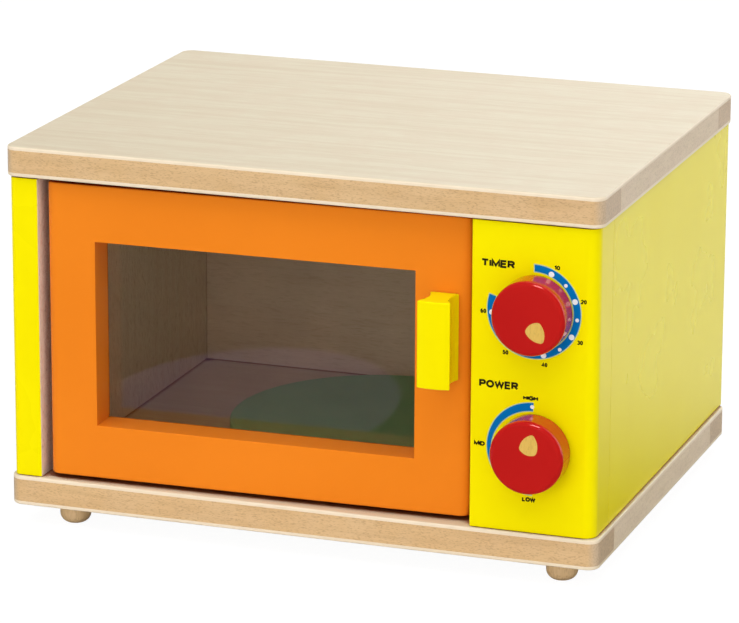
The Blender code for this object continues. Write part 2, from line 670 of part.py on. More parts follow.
def make_hinge_pins(frame, hinge, base, top, paint):
    """Two steel pins pressed into the boards; the door turns on their ends."""
    length = PIN_IN_BOARD + PIN_IN_DOOR
    low_start = DOOR_BOTTOM + PIN_IN_DOOR - length
    high_start = DOOR_TOP - PIN_IN_DOOR
    pins = (
        ("lower_hinge_pin", low_start, [base["front_lipping"], base["upper_veneer"]]),
        ("upper_hinge_pin", high_start, [top["front_lipping"], top["lower_veneer"]]),
    )
    for name, start, boards in pins:
        shape = turned_shape(rod_profile(PIN_RADIUS, length, PIN_CHAMFER), SMALL_ROUND_STEPS)
        finish(name, shape, paint["steel"], (HINGE_X, HINGE_Y, start))
        room = PIN_RADIUS + PIN_CLEARANCE
        place = (HINGE_X, HINGE_Y, start)
        hole(boards, name + "_board_hole", place, room, -PIN_CLEARANCE, length + PIN_CLEARANCE)
        hole([frame], name + "_door_hole", place, room, -PIN_CLEARANCE, length + PIN_CLEARANCE, parent=hinge)
    thickness = DOOR_BOTTOM_GAP - 2 * GLUE_GAP
    washer = ring_shape(HINGE_WASHER_RADIUS, PIN_RADIUS + PIN_CLEARANCE, thickness, CATCH_EDGE_ROUND,
                        SMALL_ROUND_STEPS)
    finish("hinge_washer", washer, paint["steel"], (HINGE_X, HINGE_Y, BASE_TOP + GLUE_GAP))


def make_catch(frame, hinge, paint):
    """A magnet in a block under the top board and a steel disc let into the back of the door."""
    along_y = (-math.pi / 2, 0.0, 0.0)
    half = CATCH_BLOCK_WIDTH / 2
    block = finish("catch_block", block_shape(
        (CATCH_X - half, CATCH_BLOCK_FRONT, PANEL_TOP - CATCH_BLOCK_HEIGHT),
        (CATCH_X + half, CATCH_BLOCK_FRONT + CATCH_BLOCK_DEPTH, PANEL_TOP)), paint["beech"])
    magnet = turned_shape(rod_profile(MAGNET_RADIUS, MAGNET_LENGTH, CATCH_EDGE_ROUND), SMALL_ROUND_STEPS)
    place = (CATCH_X, CATCH_BLOCK_FRONT, CATCH_Z)
    finish("door_magnet", magnet, paint["steel"], place, along_y)
    hole([block], "magnet_hole", place, MAGNET_RADIUS + GLUE_GAP, -CUT_OVERRUN,
         MAGNET_LENGTH + GLUE_GAP, along_y)
    striker = turned_shape(rod_profile(STRIKER_RADIUS, STRIKER_THICKNESS, CATCH_EDGE_ROUND), SMALL_ROUND_STEPS)
    place = (CATCH_X, DOOR_BACK - STRIKER_THICKNESS, CATCH_Z)
    finish("door_striker_disc", striker, paint["steel"], place, along_y, parent=hinge)
    hole([frame], "striker_pocket", place, STRIKER_RADIUS + GLUE_GAP, -GLUE_GAP,
         STRIKER_THICKNESS + CUT_OVERRUN, along_y, parent=hinge)


# Control knobs
def pointer_outline(shift, grow=0.0):
    """A rounded triangle pointing outwards along +Y, with softly bulging sides."""
    tip = POINTER_TIP_OUT + shift
    root = POINTER_ROOT_OUT + shift
    corners = [(0.0, tip), (-POINTER_HALF_WIDTH, root), (POINTER_HALF_WIDTH, root)]
    middle_y = sum(y for _, y in corners) / len(corners)
    outline = []
    for index, (x_a, y_a) in enumerate(corners):
        x_b, y_b = corners[(index + 1) % len(corners)]
        span = math.hypot(x_b - x_a, y_b - y_a)
        out_x = -(y_b - y_a) / span
        out_y = (x_b - x_a) / span
        if out_x * (x_a + x_b) / 2 + out_y * ((y_a + y_b) / 2 - middle_y) < 0:
            out_x = -out_x
            out_y = -out_y
        trim = POINTER_CORNER_ROUND / span
        for step in range(CORNER_STEPS + 1):
            share = trim + (1 - 2 * trim) * step / CORNER_STEPS
            bulge = POINTER_BULGE * math.sin(share * math.pi) + grow
            outline.append((x_a + (x_b - x_a) * share + out_x * bulge, y_a + (y_b - y_a) * share + out_y * bulge))
    return outline


def knob_profile():
    """The knob's outline from its back face to its front, along +Z."""
    back = [(0.0, 0.0), (KNOB_RADIUS - KNOB_BACK_ROUND, 0.0), (KNOB_RADIUS, KNOB_BACK_ROUND)]
    middle = (KNOB_RADIUS - KNOB_FRONT_ROUND, KNOB_LENGTH - KNOB_FRONT_ROUND)
    return back + arc(middle, KNOB_FRONT_ROUND, 0.0, 90.0, CORNER_STEPS) + [(0.0, KNOB_LENGTH)]


def make_knob(name, height, pointer_deg, pointer_shift, panel, paint):
    z = BASE_TOP + height
    knob_back = PANEL_FRONT - KNOB_WASHER_THICKNESS - 2 * GLUE_GAP
    axis = bpy.data.objects.new(name + "_axis", None)
    bpy.context.scene.collection.objects.link(axis)
    axis.location = (KNOB_X, knob_back, z)
    axis.rotation_euler = (0.0, math.radians(pointer_deg), 0.0)
    outwards = (math.pi / 2, 0.0, 0.0)
    place = tuple(axis.location)

    knob = finish(name, turned_shape(knob_profile(), DISC_STEPS), paint["red"], place, outwards, axis)
    pocket_floor = KNOB_LENGTH - POINTER_DEPTH
    inlay = prism_shape(pointer_outline(pointer_shift), pocket_floor + GLUE_GAP, KNOB_LENGTH)
    finish(name + "_pointer", inlay, paint["inlay"], place, outwards, axis)
    pocket = prism_shape(pointer_outline(pointer_shift, GLUE_GAP), pocket_floor, KNOB_LENGTH + CUT_OVERRUN)
    cut([knob], finish(name + "_pointer_pocket", pocket, None, place, outwards, axis))

    reach = PANEL_FRONT + CONTROL_THICKNESS + GLUE_GAP + COLLAR_LENGTH - knob_back
    axle = turned_shape(rod_profile(AXLE_RADIUS, AXLE_IN_KNOB + reach, DOWEL_CHAMFER), SMALL_ROUND_STEPS)
    start = (KNOB_X, knob_back - AXLE_IN_KNOB, z)
    inwards = (-math.pi / 2, 0.0, 0.0)
    finish(name + "_axle", axle, paint["beech"], start, inwards, axis)
    hole([knob], name + "_axle_socket", start, AXLE_RADIUS + GLUE_GAP, -GLUE_GAP,
         AXLE_IN_KNOB + CUT_OVERRUN, inwards, axis)
    hole([panel], name + "_axle_hole", start, AXLE_RADIUS + AXLE_CLEARANCE, 0.0,
         AXLE_IN_KNOB + reach, inwards)

    collar = ring_shape(COLLAR_RADIUS, AXLE_RADIUS + GLUE_GAP, COLLAR_LENGTH, COLLAR_EDGE_ROUND)
    behind = (KNOB_X, PANEL_FRONT + CONTROL_THICKNESS + GLUE_GAP, z)
    finish(name + "_collar", collar, paint["beech"], behind, inwards, axis)
    washer = ring_shape(KNOB_WASHER_RADIUS, AXLE_RADIUS + AXLE_CLEARANCE, KNOB_WASHER_THICKNESS, 0.0)
    finish(name + "_washer", washer, paint["felt"], (KNOB_X, PANEL_FRONT - GLUE_GAP, z), outwards)


# Turntable
def turntable_profile():
    low = (TURNTABLE_RADIUS - TURNTABLE_EDGE_ROUND, TURNTABLE_EDGE_ROUND)
    high = (TURNTABLE_RADIUS - TURNTABLE_EDGE_ROUND, TURNTABLE_THICKNESS - TURNTABLE_EDGE_ROUND)
    lower_edge = arc(low, TURNTABLE_EDGE_ROUND, -90.0, 0.0, EDGE_STEPS)
    upper_edge = arc(high, TURNTABLE_EDGE_ROUND, 0.0, 90.0, EDGE_STEPS)
    return [(0.0, 0.0)] + lower_edge + upper_edge + [(0.0, TURNTABLE_THICKNESS)]


def make_turntable(base, paint):
    axis = bpy.data.objects.new("turntable_axis", None)
    bpy.context.scene.collection.objects.link(axis)
    axis.location = (TURNTABLE_X, TURNTABLE_Y, 0.0)
    place = (TURNTABLE_X, TURNTABLE_Y, TURNTABLE_BOTTOM)
    disc = finish("turntable_disc", turned_shape(turntable_profile(), DISC_STEPS), paint["green"],
                  place, parent=axis)

    pin_bottom = BASE_TOP - TURN_PIN_IN_BOARD
    bore_top = TURNTABLE_BOTTOM + TURNTABLE_THICKNESS - TURNTABLE_SKIN
    pin_length = bore_top - TURN_PIN_CLEARANCE - pin_bottom
    pin_place = (TURNTABLE_X, TURNTABLE_Y, pin_bottom)
    pin = turned_shape(rod_profile(TURN_PIN_RADIUS, pin_length, DOWEL_CHAMFER), SMALL_ROUND_STEPS)
    finish("turntable_pin", pin, paint["beech"], pin_place)
    room = TURN_PIN_RADIUS + TURN_PIN_CLEARANCE
    hole([disc, base["core"], base["upper_veneer"]], "turntable_pin_hole", pin_place, room,
         -TURN_PIN_CLEARANCE, pin_length + TURN_PIN_CLEARANCE)

    hub = ring_shape(HUB_RADIUS, room, HUB_HEIGHT, HUB_EDGE_ROUND)
    finish("turntable_hub", hub, paint["beech"], (TURNTABLE_X, TURNTABLE_Y, HUB_BOTTOM))
    washer = ring_shape(TURN_WASHER_RADIUS, room, TURN_WASHER_THICKNESS, 0.0)
    finish("turntable_washer", washer, paint["felt"], (TURNTABLE_X, TURNTABLE_Y, TURN_WASHER_BOTTOM))


def main():
    clear_scene()
    paint = make_materials()
    base = make_board("base", BASE_BOTTOM, paint)
    top = make_board("top", TOP_BOTTOM, paint)
    panels = make_side_panels(paint)
    control = make_control_panel(paint)
    make_feet(base, paint)
    make_top_dowels(top, panels, paint)
    make_base_screws(base, panels, paint)
    hinge = make_hinge_empty()
    frame = make_door(hinge, paint)
    make_pane_strips(hinge, paint)
    make_handle(frame, hinge, paint)
    make_hinge_pins(frame, hinge, base, top, paint)
    make_catch(frame, hinge, paint)
    make_knob("timer_knob", TIMER_HEIGHT, TIMER_POINTER_DEG, TIMER_POINTER_SHIFT, control, paint)
    make_knob("power_knob", POWER_HEIGHT, POWER_POINTER_DEG, POWER_POINTER_SHIFT, control, paint)
    make_turntable(base, paint)


main()
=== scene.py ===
# Wooden toy microwave: its looks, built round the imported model.
# Metres, +Z up, the door and the dials face -Y.
import json
import math

import bmesh
import bpy
from mathutils import Matrix, Vector


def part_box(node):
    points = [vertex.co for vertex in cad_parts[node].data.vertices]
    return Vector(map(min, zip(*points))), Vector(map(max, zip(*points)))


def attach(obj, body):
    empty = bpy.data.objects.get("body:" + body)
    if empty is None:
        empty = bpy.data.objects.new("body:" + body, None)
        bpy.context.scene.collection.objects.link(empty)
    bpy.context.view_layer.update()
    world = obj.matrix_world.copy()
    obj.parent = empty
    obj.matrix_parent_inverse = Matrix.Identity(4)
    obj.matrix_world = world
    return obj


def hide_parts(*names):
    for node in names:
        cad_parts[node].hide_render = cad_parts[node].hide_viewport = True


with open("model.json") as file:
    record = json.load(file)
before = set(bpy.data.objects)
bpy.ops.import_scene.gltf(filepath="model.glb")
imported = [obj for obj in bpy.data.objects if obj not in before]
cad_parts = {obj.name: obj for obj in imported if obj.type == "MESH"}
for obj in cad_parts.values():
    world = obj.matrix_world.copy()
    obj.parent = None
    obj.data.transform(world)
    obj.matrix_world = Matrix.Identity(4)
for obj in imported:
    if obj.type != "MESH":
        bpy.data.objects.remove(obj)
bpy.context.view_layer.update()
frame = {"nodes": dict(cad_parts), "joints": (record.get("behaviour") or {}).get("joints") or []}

nodes = frame["nodes"]
mm = 0.001
touch = 0.02 * mm        # two points nearer than this count as one place
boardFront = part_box("top_upper_veneer")[0].y
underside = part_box("base_lower_veneer")[0].z


# Camera, solved from the box's straight edges
cameraLook = {
    "place": (0.7818, boardFront - 2.1115, underside + 0.7622), "azimuth": 19.288, "elevation": 15.6525,
    "roll": 0.25, "lens": 206.17, "sensor": 36.0, "clipEnd": 50.0,
}


def makeCamera(look):
    azimuth, elevation, roll = (math.radians(look[key]) for key in ("azimuth", "elevation", "roll"))
    back = Vector((
        math.cos(elevation) * math.sin(azimuth), -math.cos(elevation) * math.cos(azimuth),
        math.sin(elevation)))
    level = Vector((math.cos(azimuth), math.sin(azimuth), 0.0))
    upright = back.cross(level)
    right = level * math.cos(roll) + upright * math.sin(roll)
    up = upright * math.cos(roll) - level * math.sin(roll)
    turn = Matrix((right, up, back)).transposed().to_4x4()
    data = bpy.data.cameras.new("camera")
    data.sensor_fit = "HORIZONTAL"
    data.sensor_width = look["sensor"]
    data.lens = look["lens"]
    data.clip_end = look["clipEnd"]
    camera = bpy.data.objects.new("camera", data)
    camera.matrix_world = Matrix.Translation(look["place"]) @ turn
    bpy.context.scene.collection.objects.link(camera)
    bpy.context.scene.camera = camera


makeCamera(cameraLook)
print("camera set")


# Node helpers
def setInputs(tree, node, inputs):  # links each socket given, and sets each plain value
    for key, value in inputs.items():
        if isinstance(value, bpy.types.NodeSocket):
            tree.links.new(value, node.inputs[key])
        else:
            node.inputs[key].default_value = value


def addNode(tree, kind, inputs, **settings):
    node = tree.nodes.new("ShaderNode" + kind)
    for name, value in settings.items():
        setattr(node, name, value)
    setInputs(tree, node, inputs)
    return node.outputs


def rgb(colour):
    return (*colour, 1.0) if isinstance(colour, tuple) and len(colour) == 3 else colour


def mixColour(tree, share, first, second, blend="MIX"):
    return addNode(tree, "Mix", {0: share, 6: rgb(first), 7: rgb(second)},
                   data_type="RGBA", blend_type=blend)[2]


def ramp(tree, value, low, high, outLow=0.0, outHigh=1.0):
    return addNode(tree, "MapRange", {
        "Value": value, "From Min": low, "From Max": high, "To Min": outLow, "To Max": outHigh},
        interpolation_type="SMOOTHSTEP")["Result"]


def calc(tree, operation, first, second=0.0):
    return addNode(tree, "Math", {0: first, 1: second}, operation=operation)[0]


def noise(tree, vector, scale, detail=2.0, roughness=0.5):
    return addNode(tree, "TexNoise", {
        "Vector": vector, "Scale": scale, "Detail": detail, "Roughness": roughness})


def vectorMath(tree, operation, first, second):
    return addNode(tree, "VectorMath", {0: first, 1: second}, operation=operation)


def newGroup(name, inputs, outputs):
    group = bpy.data.node_groups.new(name, "ShaderNodeTree")
    for label, kind, start in inputs:
        socket = group.interface.new_socket(name=label, in_out="INPUT", socket_type="NodeSocket" + kind)
        if start is not None:
            socket.default_value = start
    for label in outputs:
        group.interface.new_socket(name=label, in_out="OUTPUT", socket_type="NodeSocketFloat")
    return group, group.nodes.new("NodeGroupInput").outputs, group.nodes.new("NodeGroupOutput").inputs


grainSizes = {
    "sway": 0.8, "swayScale": 14.0, "fleckRange": (0.54, 0.66),
    # each noise: its scale, detail and roughness
    "Figure": (1.0, 4.0, 0.6), "Fibre": (7.0, 3.0, 0.6), "Flecks": (1.0, 1.5, 0.5),
    "Mottle": (45.0, 2.0, 0.5),
}
# here, in the window pane and on the floor a noise is its scale and detail
skinSizes = {"toneNoise": (14.0, 3.0), "speckNoise": (1600.0, 1.0), "speckRange": (0.72, 0.80)}


def makeGrainGroup(sizes):
    # Wood grain: broad figure, fine fibres, short flecks and a slow mottle across the board
    layers = ["Figure", "Fibre", "Flecks", "Mottle"]
    group, given, wanted = newGroup("wood grain", [
        ("Vector", "Vector", None), ("Stretch", "Vector", (8.0, 150.0, 150.0)),
        ("Fleck size", "Vector", (250.0, 1200.0, 1200.0))], layers)
    along = vectorMath(group, "MULTIPLY", given["Vector"], given["Stretch"])[0]
    bend = noise(group, given["Vector"], sizes["swayScale"])
    sway = addNode(group, "VectorMath", {0: bend["Color"], "Scale": sizes["sway"]},
                   operation="SCALE")[0]
    bent = vectorMath(group, "ADD", along, sway)[0]
    small = vectorMath(group, "MULTIPLY", given["Vector"], given["Fleck size"])[0]
    for layer, place in zip(layers, (bent, bent, small, given["Vector"])):
        value = noise(group, place, *sizes[layer])["Fac"]
        if layer == "Flecks":
            value = ramp(group, value, *sizes["fleckRange"])
        group.links.new(value, wanted[layer])
    return group


def makeSkinGroup(sizes):
    # Sprayed paint: a fine orange peel, a slow change of tone and a few dust specks
    group, given, wanted = newGroup("paint skin", [
        ("Vector", "Vector", None), ("Peel scale", "Float", 700.0),
    ], ["Peel", "Tone", "Specks"])
    peel = noise(group, given["Vector"], given["Peel scale"])["Fac"]
    tone = noise(group, given["Vector"], *sizes["toneNoise"])["Fac"]
    dust = noise(group, given["Vector"], *sizes["speckNoise"])["Fac"]
    group.links.new(peel, wanted["Peel"])
    group.links.new(tone, wanted["Tone"])
    group.links.new(ramp(group, dust, *sizes["speckRange"]), wanted["Specks"])
    return group


grainGroup = makeGrainGroup(grainSizes)
skinGroup = makeSkinGroup(skinSizes)


def newMaterial(name):
    made = bpy.data.materials.new(name)
    made.use_nodes = True
    tree = made.node_tree
    place = addNode(tree, "TexCoord", {})["Object"]
    return made, tree, tree.nodes["Principled BSDF"], place


def mixToSurface(tree, share, first, second):  # the last step of a material of two shaders
    mixed = addNode(tree, "MixShader", {0: share, 1: first, 2: second})[0]
    tree.links.new(mixed, tree.nodes["Material Output"].inputs["Surface"])


# What every finish has unless it says otherwise; woods and paints add to it below
plainLook = {
    "specular": 0.4, "specularTint": (1.0, 1.0, 1.0), "coat": 0.0, "metallic": 0.0, "gaps": None,
}
coatRoughness = 0.05
gapSamples = 8


def setShader(tree, shader, colour, value, spread, height, look):
    if look["gaps"]:  # painted shade: the colour darkens where an ambient-occlusion node finds other surfaces near, as in narrow gaps
        reach, closed, opened, shade = look["gaps"]
        near = addNode(tree, "AmbientOcclusion", {"Distance": reach}, samples=gapSamples)["AO"]
        deep = mixColour(tree, 1.0, colour, shade, "MULTIPLY")
        colour = mixColour(tree, ramp(tree, near, closed, opened), deep, colour)
    rough = addNode(tree, "Math", {0: value, 1: spread, 2: look["roughness"] - spread / 2},
                    operation="MULTIPLY_ADD")[0]
    bump = addNode(tree, "Bump", {
        "Height": height, "Strength": look["bump"], "Distance": look["bumpDepth"]})["Normal"]
    setInputs(tree, shader, {
        "Base Color": colour, "Roughness": rough, "Normal": bump, "Specular IOR Level": look["specular"],
        "Specular Tint": rgb(look["specularTint"]), "Metallic": look["metallic"],
        "Coat Weight": look["coat"], "Coat Roughness": coatRoughness})


# Woods: how far each layer of the grain has to rise before it shows, and the colour it brings
grainLayers = {
    "figure": (0.38, 0.68, "dark"), "mottle": (0.40, 0.65, "mottleColour"),
    "fibre": (0.45, 0.70, "dark"),
}
poreSizes = {"scale": 900.0, "range": (0.40, 0.65)}
woodSpread = 0.18        # how much the fibres change the roughness
paintSpread = 0.06
toneRange = (0.35, 0.65)
speckShare = 0.10


def makeWood(name, look):
    look = {**plainLook, **woodBase, **look}
    made, tree, shader, place = newMaterial(name)
    grain = addNode(tree, "Group", {
        "Vector": place, "Stretch": look["stretch"], "Fleck size": look["fleckSize"]},
        node_tree=grainGroup)
    colour = look["light"]
    for layer, (low, high, tint) in grainLayers.items():
        share = ramp(tree, grain[layer.title()], low, high, 0.0, look[layer])
        colour = mixColour(tree, share, colour, look[tint])
    flecks = calc(tree, "MULTIPLY", grain["Flecks"], look["flecks"])
    colour = mixColour(tree, flecks, colour, look["fleckColour"])
    if "endColour" in look:  # the grain's end shows where the front turns the corner
        across = addNode(tree, "SeparateXYZ", {0: place})["X"]
        share = ramp(tree, calc(tree, "ABSOLUTE", across), *look["endFrom"])
        pores = ramp(tree, noise(tree, place, poreSizes["scale"])["Fac"], *poreSizes["range"])
        ending = mixColour(tree, pores, look["endColour"], look["endDark"])
        colour = mixColour(tree, share, colour, ending)
    height = calc(tree, "SUBTRACT", grain["Fibre"], flecks)
    setShader(tree, shader, colour, grain["Fibre"], woodSpread, height, look)
    return made


def makePaint(name, look):
    look = {**plainLook, **(inkBase if "Ink" in name else paintBase), **look}
    made, tree, shader, place = newMaterial(name)
    skin = addNode(tree, "Group", {"Vector": place, "Peel scale": look["peelScale"]},
                   node_tree=skinGroup)
    colour = mixColour(tree, ramp(tree, skin["Tone"], *toneRange), look["colour"], look["shade"])
    specks = calc(tree, "MULTIPLY", skin["Specks"], speckShare)
    colour = mixColour(tree, specks, colour, look["shade"])
    setShader(tree, shader, colour, skin["Tone"], paintSpread, skin["Peel"], look)
    return made


# Finishes; the painted gap shade is (reach, closed share, open share, tint of the shade)
woodBase = {
    "figure": 0.5, "mottle": 0.35, "fibre": 0.30, "flecks": 0.35, "bump": 0.20, "bumpDepth": 0.12 * mm,
}
woodLooks = {
    "birchVeneer": {
        "light": (0.80, 0.71, 0.52), "dark": (0.70, 0.57, 0.38), "mottleColour": (0.76, 0.62, 0.44),
        "fleckColour": (0.62, 0.47, 0.31), "stretch": (7.0, 160.0, 160.0),
        "fleckSize": (160.0, 1100.0, 1100.0), "figure": 0.55, "fibre": 0.25, "flecks": 0.12,
        "roughness": 0.42, "bump": 0.12, "bumpDepth": 0.1 * mm,
        "gaps": (9.0 * mm, 0.49, 0.56, (0.36, 0.11, 0.04))},
    "veneerEdge": {
        "light": (0.91, 0.77, 0.58), "dark": (0.82, 0.67, 0.47), "mottleColour": (0.88, 0.73, 0.53),
        "fleckColour": (0.78, 0.64, 0.44), "stretch": (14.0, 160.0, 160.0),
        "fleckSize": (160.0, 1100.0, 1100.0), "figure": 0.4, "mottle": 0.3, "flecks": 0.2,
        "roughness": 0.38, "bump": 0.10, "bumpDepth": 0.1 * mm},
    "beechLipping": {
        "light": (0.75, 0.495, 0.24), "dark": (0.58, 0.35, 0.155), "mottleColour": (0.76, 0.53, 0.29),
        "fleckColour": (0.45, 0.25, 0.11), "stretch": (12.0, 260.0, 260.0),
        "fleckSize": (560.0, 2350.0, 2350.0), "figure": 0.40, "fibre": 0.25, "flecks": 0.50,
        "roughness": 0.45, "endColour": (0.66, 0.49, 0.32), "endDark": (0.55, 0.40, 0.26),
        "endFrom": (0.169, 0.1745)},
    "boardEdge": {
        "light": (0.84, 0.69, 0.51), "dark": (0.71, 0.56, 0.40), "mottleColour": (0.82, 0.65, 0.50),
        "fleckColour": (0.46, 0.36, 0.25), "stretch": (60.0, 40.0, 260.0),
        "fleckSize": (900.0, 800.0, 1300.0), "figure": 0.45, "mottle": 0.30, "fibre": 0.40,
        "flecks": 0.30, "roughness": 0.60, "bump": 0.30, "bumpDepth": 0.15 * mm},
    "bareWood": {
        "light": (0.98, 0.87, 0.73), "dark": (0.90, 0.74, 0.59), "mottleColour": (0.96, 0.82, 0.67),
        "fleckColour": (0.45, 0.27, 0.14), "stretch": (150.0, 150.0, 8.0),
        "fleckSize": (1300.0, 1300.0, 260.0), "figure": 0.60, "fibre": 0.35, "roughness": 0.55,
        "gaps": (9.0 * mm, 0.05, 0.22, (0.45, 0.22, 0.10))},
    "backWood": {
        "light": (0.88, 0.74, 0.60), "dark": (0.78, 0.62, 0.48), "mottleColour": (0.84, 0.70, 0.57),
        "fleckColour": (0.45, 0.30, 0.17), "stretch": (7.0, 150.0, 150.0),
        "fleckSize": (200.0, 1200.0, 1200.0), "figure": 0.60, "flecks": 0.20, "roughness": 0.55,
        "bump": 0.18},
    "turnedBeech": {
        "light": (0.78, 0.54, 0.29), "dark": (0.64, 0.42, 0.20), "mottleColour": (0.78, 0.56, 0.32),
        "fleckColour": (0.42, 0.25, 0.12), "stretch": (190.0, 190.0, 14.0),
        "fleckSize": (1400.0, 1400.0, 300.0), "mottle": 0.3, "roughness": 0.48},
    "inlayWood": {
        "light": (0.78, 0.50, 0.10), "dark": (0.66, 0.38, 0.06), "mottleColour": (0.74, 0.48, 0.10),
        "fleckColour": (0.50, 0.28, 0.05), "stretch": (260.0, 260.0, 20.0),
        "fleckSize": (1500.0, 1500.0, 380.0), "mottle": 0.3, "flecks": 0.3, "roughness": 0.34,
        "bump": 0.15, "bumpDepth": 0.1 * mm},
}
# painted shade in the narrow gaps of the painted parts
paintedGapShadeForPaint = (9.0 * mm, 0.14, 0.34, (0.40, 0.12, 0.05))
paintBase = {"bump": 0.08, "bumpDepth": 0.1 * mm, "peelScale": 700.0}
inkBase = {"roughness": 0.36, "specular": 0.28, "bump": 0.05, "bumpDepth": 0.05 * mm, "peelScale": 700.0}
paintLooks = {
    "yellowPaint": {
        "colour": (0.97, 0.835, 0.0006), "shade": (0.96, 0.815, 0.0006), "roughness": 0.28,
        "specular": 0.30, "specularTint": (1.0, 0.85, 0.02), "gaps": paintedGapShadeForPaint},
    "orangePaint": {
        "colour": (0.91, 0.245, 0.015), "shade": (0.89, 0.236, 0.014), "roughness": 0.22,
        "specularTint": (1.0, 0.40, 0.10), "gaps": paintedGapShadeForPaint},
    "redPaint": {
        "colour": (0.54, 0.012, 0.010), "shade": (0.51, 0.010, 0.009), "roughness": 0.14,
        "specular": 0.5, "specularTint": (1.0, 0.25, 0.20), "coat": 0.55, "bump": 0.03,
        "bumpDepth": 0.08 * mm, "peelScale": 350.0},
    "greenPaint": {
        "colour": (0.27, 0.60, 0.27), "shade": (0.24, 0.55, 0.25), "roughness": 0.38,
        "specular": 0.35, "bump": 0.10, "bumpDepth": 0.12 * mm},
    "blueInk": {
        "colour": (0.002, 0.185, 0.53), "shade": (0.002, 0.172, 0.50), "specularTint": (0.05, 0.5, 1.0)},
    "whiteInk": {"colour": (0.94, 0.97, 0.98), "shade": (0.90, 0.93, 0.94)},
    "paleInk": {"colour": (0.55, 0.72, 0.38), "shade": (0.50, 0.66, 0.34)},
    "blackInk": {
        "colour": (0.012, 0.010, 0.004), "shade": (0.020, 0.017, 0.007), "specular": 0.15,
        "specularTint": (0.5, 0.4, 0.1)},
    "steel": {
        "colour": (0.62, 0.62, 0.64), "shade": (0.54, 0.54, 0.56), "roughness": 0.28, "metallic": 1.0,
        "bumpDepth": 0.05 * mm, "peelScale": 1500.0},
    "felt": {
        "colour": (0.09, 0.09, 0.10), "shade": (0.05, 0.05, 0.055), "roughness": 0.95,
        "bump": 0.8, "bumpDepth": 0.3 * mm, "peelScale": 2500.0},
}
finishes = {name: makeWood(name, look) for name, look in woodLooks.items()}
finishes.update({name: makePaint(name, look) for name, look in paintLooks.items()})

paneLook = {
    "tint": (0.78, 0.745, 0.70), "lampTint": (0.92, 0.90, 0.87), "ior": 1.49,
    "hazeNoise": (30.0, 3.0), "hazeRange": (0.3, 0.7), "hazeShade": 0.94,
    "smearNoise": (60.0, 3.0), "smearRange": (0.5, 0.8), "smearRoughness": 0.03,
}


def makeSmokedAcrylic(look):
    # Smoke-brown sheet; shadow rays and bounced light pass straight through to the oven behind it
    made, tree, shader, place = newMaterial("smokedAcrylic")
    haze = ramp(tree, noise(tree, place, *look["hazeNoise"])["Fac"], *look["hazeRange"])
    shade = tuple(look["hazeShade"] * part for part in look["tint"])
    smear = noise(tree, place, *look["smearNoise"])["Fac"]
    setInputs(tree, shader, {
        "Base Color": mixColour(tree, haze, look["tint"], shade),
        "Roughness": ramp(tree, smear, *look["smearRange"], 0.0, look["smearRoughness"]),
        "IOR": look["ior"], "Transmission Weight": 1.0})
    clear = addNode(tree, "BsdfTransparent", {"Color": rgb(look["lampTint"])})[0]
    rays = addNode(tree, "LightPath", {})
    through = calc(tree, "MAXIMUM", rays["Is Shadow Ray"], rays["Is Diffuse Ray"])
    mixToSurface(tree, through, shader.outputs[0], clear)
    return made


finishes["smokedAcrylic"] = makeSmokedAcrylic(paneLook)
print("finishes made:", len(finishes))


# Shape helpers
def block(low, high):
    shape = bmesh.new()
    bmesh.ops.create_cube(shape, size=1.0)
    bmesh.ops.scale(shape, vec=[b - a for a, b in zip(low, high)], verts=shape.verts)
    bmesh.ops.translate(shape, vec=[(a + b) / 2 for a, b in zip(low, high)], verts=shape.verts)
    return shape


def edgesAt(shape, **at):  # the edges with both ends at the given x, y or z
    def inPlace(vert):
        return all(abs(getattr(vert.co, axis) - value) < touch for axis, value in at.items())
    return [edge for edge in shape.edges if all(inPlace(vert) for vert in edge.verts)]


def roundEdges(shape, edges, rounding):  # a rounding is its width and how many steps it has
    width, steps = rounding
    bmesh.ops.bevel(shape, geom=edges, offset=width, segments=steps, profile=0.5,
                    affect="EDGES", material=-1)


def roundAt(shape, rounding, **at):
    roundEdges(shape, edgesAt(shape, **at), rounding)


def roundRim(shape, radius, height, rounding):
    def onRim(vert):
        return abs(vert.co.xy.length - radius) < touch and abs(vert.co.z - height) < touch
    rim = [edge for edge in shape.edges if all(onRim(vert) for vert in edge.verts)]
    roundEdges(shape, rim, rounding)


def sliceAt(shape, place, normal):
    bmesh.ops.bisect_plane(shape, geom=shape.verts[:] + shape.edges[:] + shape.faces[:],
                           plane_co=place, plane_no=normal, dist=touch / 10)


def grow(shape, faces, vec):  # pulls the faces out along vec
    grown = bmesh.ops.extrude_face_region(shape, geom=faces)["geom"]
    moved = [item for item in grown if isinstance(item, bmesh.types.BMVert)]
    bmesh.ops.translate(shape, vec=vec, verts=moved)


def turned(profile, steps=64, closed=False):  # a profile of (radius, height) turned about Z
    shape = bmesh.new()
    points = [shape.verts.new((radius, 0.0, height)) for radius, height in profile]
    for first, second in zip(points, points[1:] + points[:1] * closed):
        shape.edges.new((first, second))
    bmesh.ops.spin(shape, geom=shape.verts[:] + shape.edges[:], axis=(0, 0, 1), cent=(0, 0, 0),
                   angle=2 * math.pi, steps=steps, use_merge=True)
    bmesh.ops.remove_doubles(shape, verts=shape.verts, dist=touch / 10)
    return shape


def disc(radius, thick, steps=24):
    return turned([(0.0, 0.0), (radius, 0.0), (radius, thick), (0.0, thick)], steps)


def asObject(name, shape):
    mesh = bpy.data.meshes.new(name)
    shape.to_mesh(mesh)
    shape.free()
    made = bpy.data.objects.new(name, mesh)
    bpy.context.scene.collection.objects.link(made)
    return made


def moveShape(shape, matrix):
    bmesh.ops.transform(shape, matrix=matrix, verts=shape.verts)
    return shape


def underMiddle(node, z):  # the point at height z on the line through the middle of a CAD piece
    low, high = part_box(node)
    return ((low.x + high.x) / 2, (low.y + high.y) / 2, z)


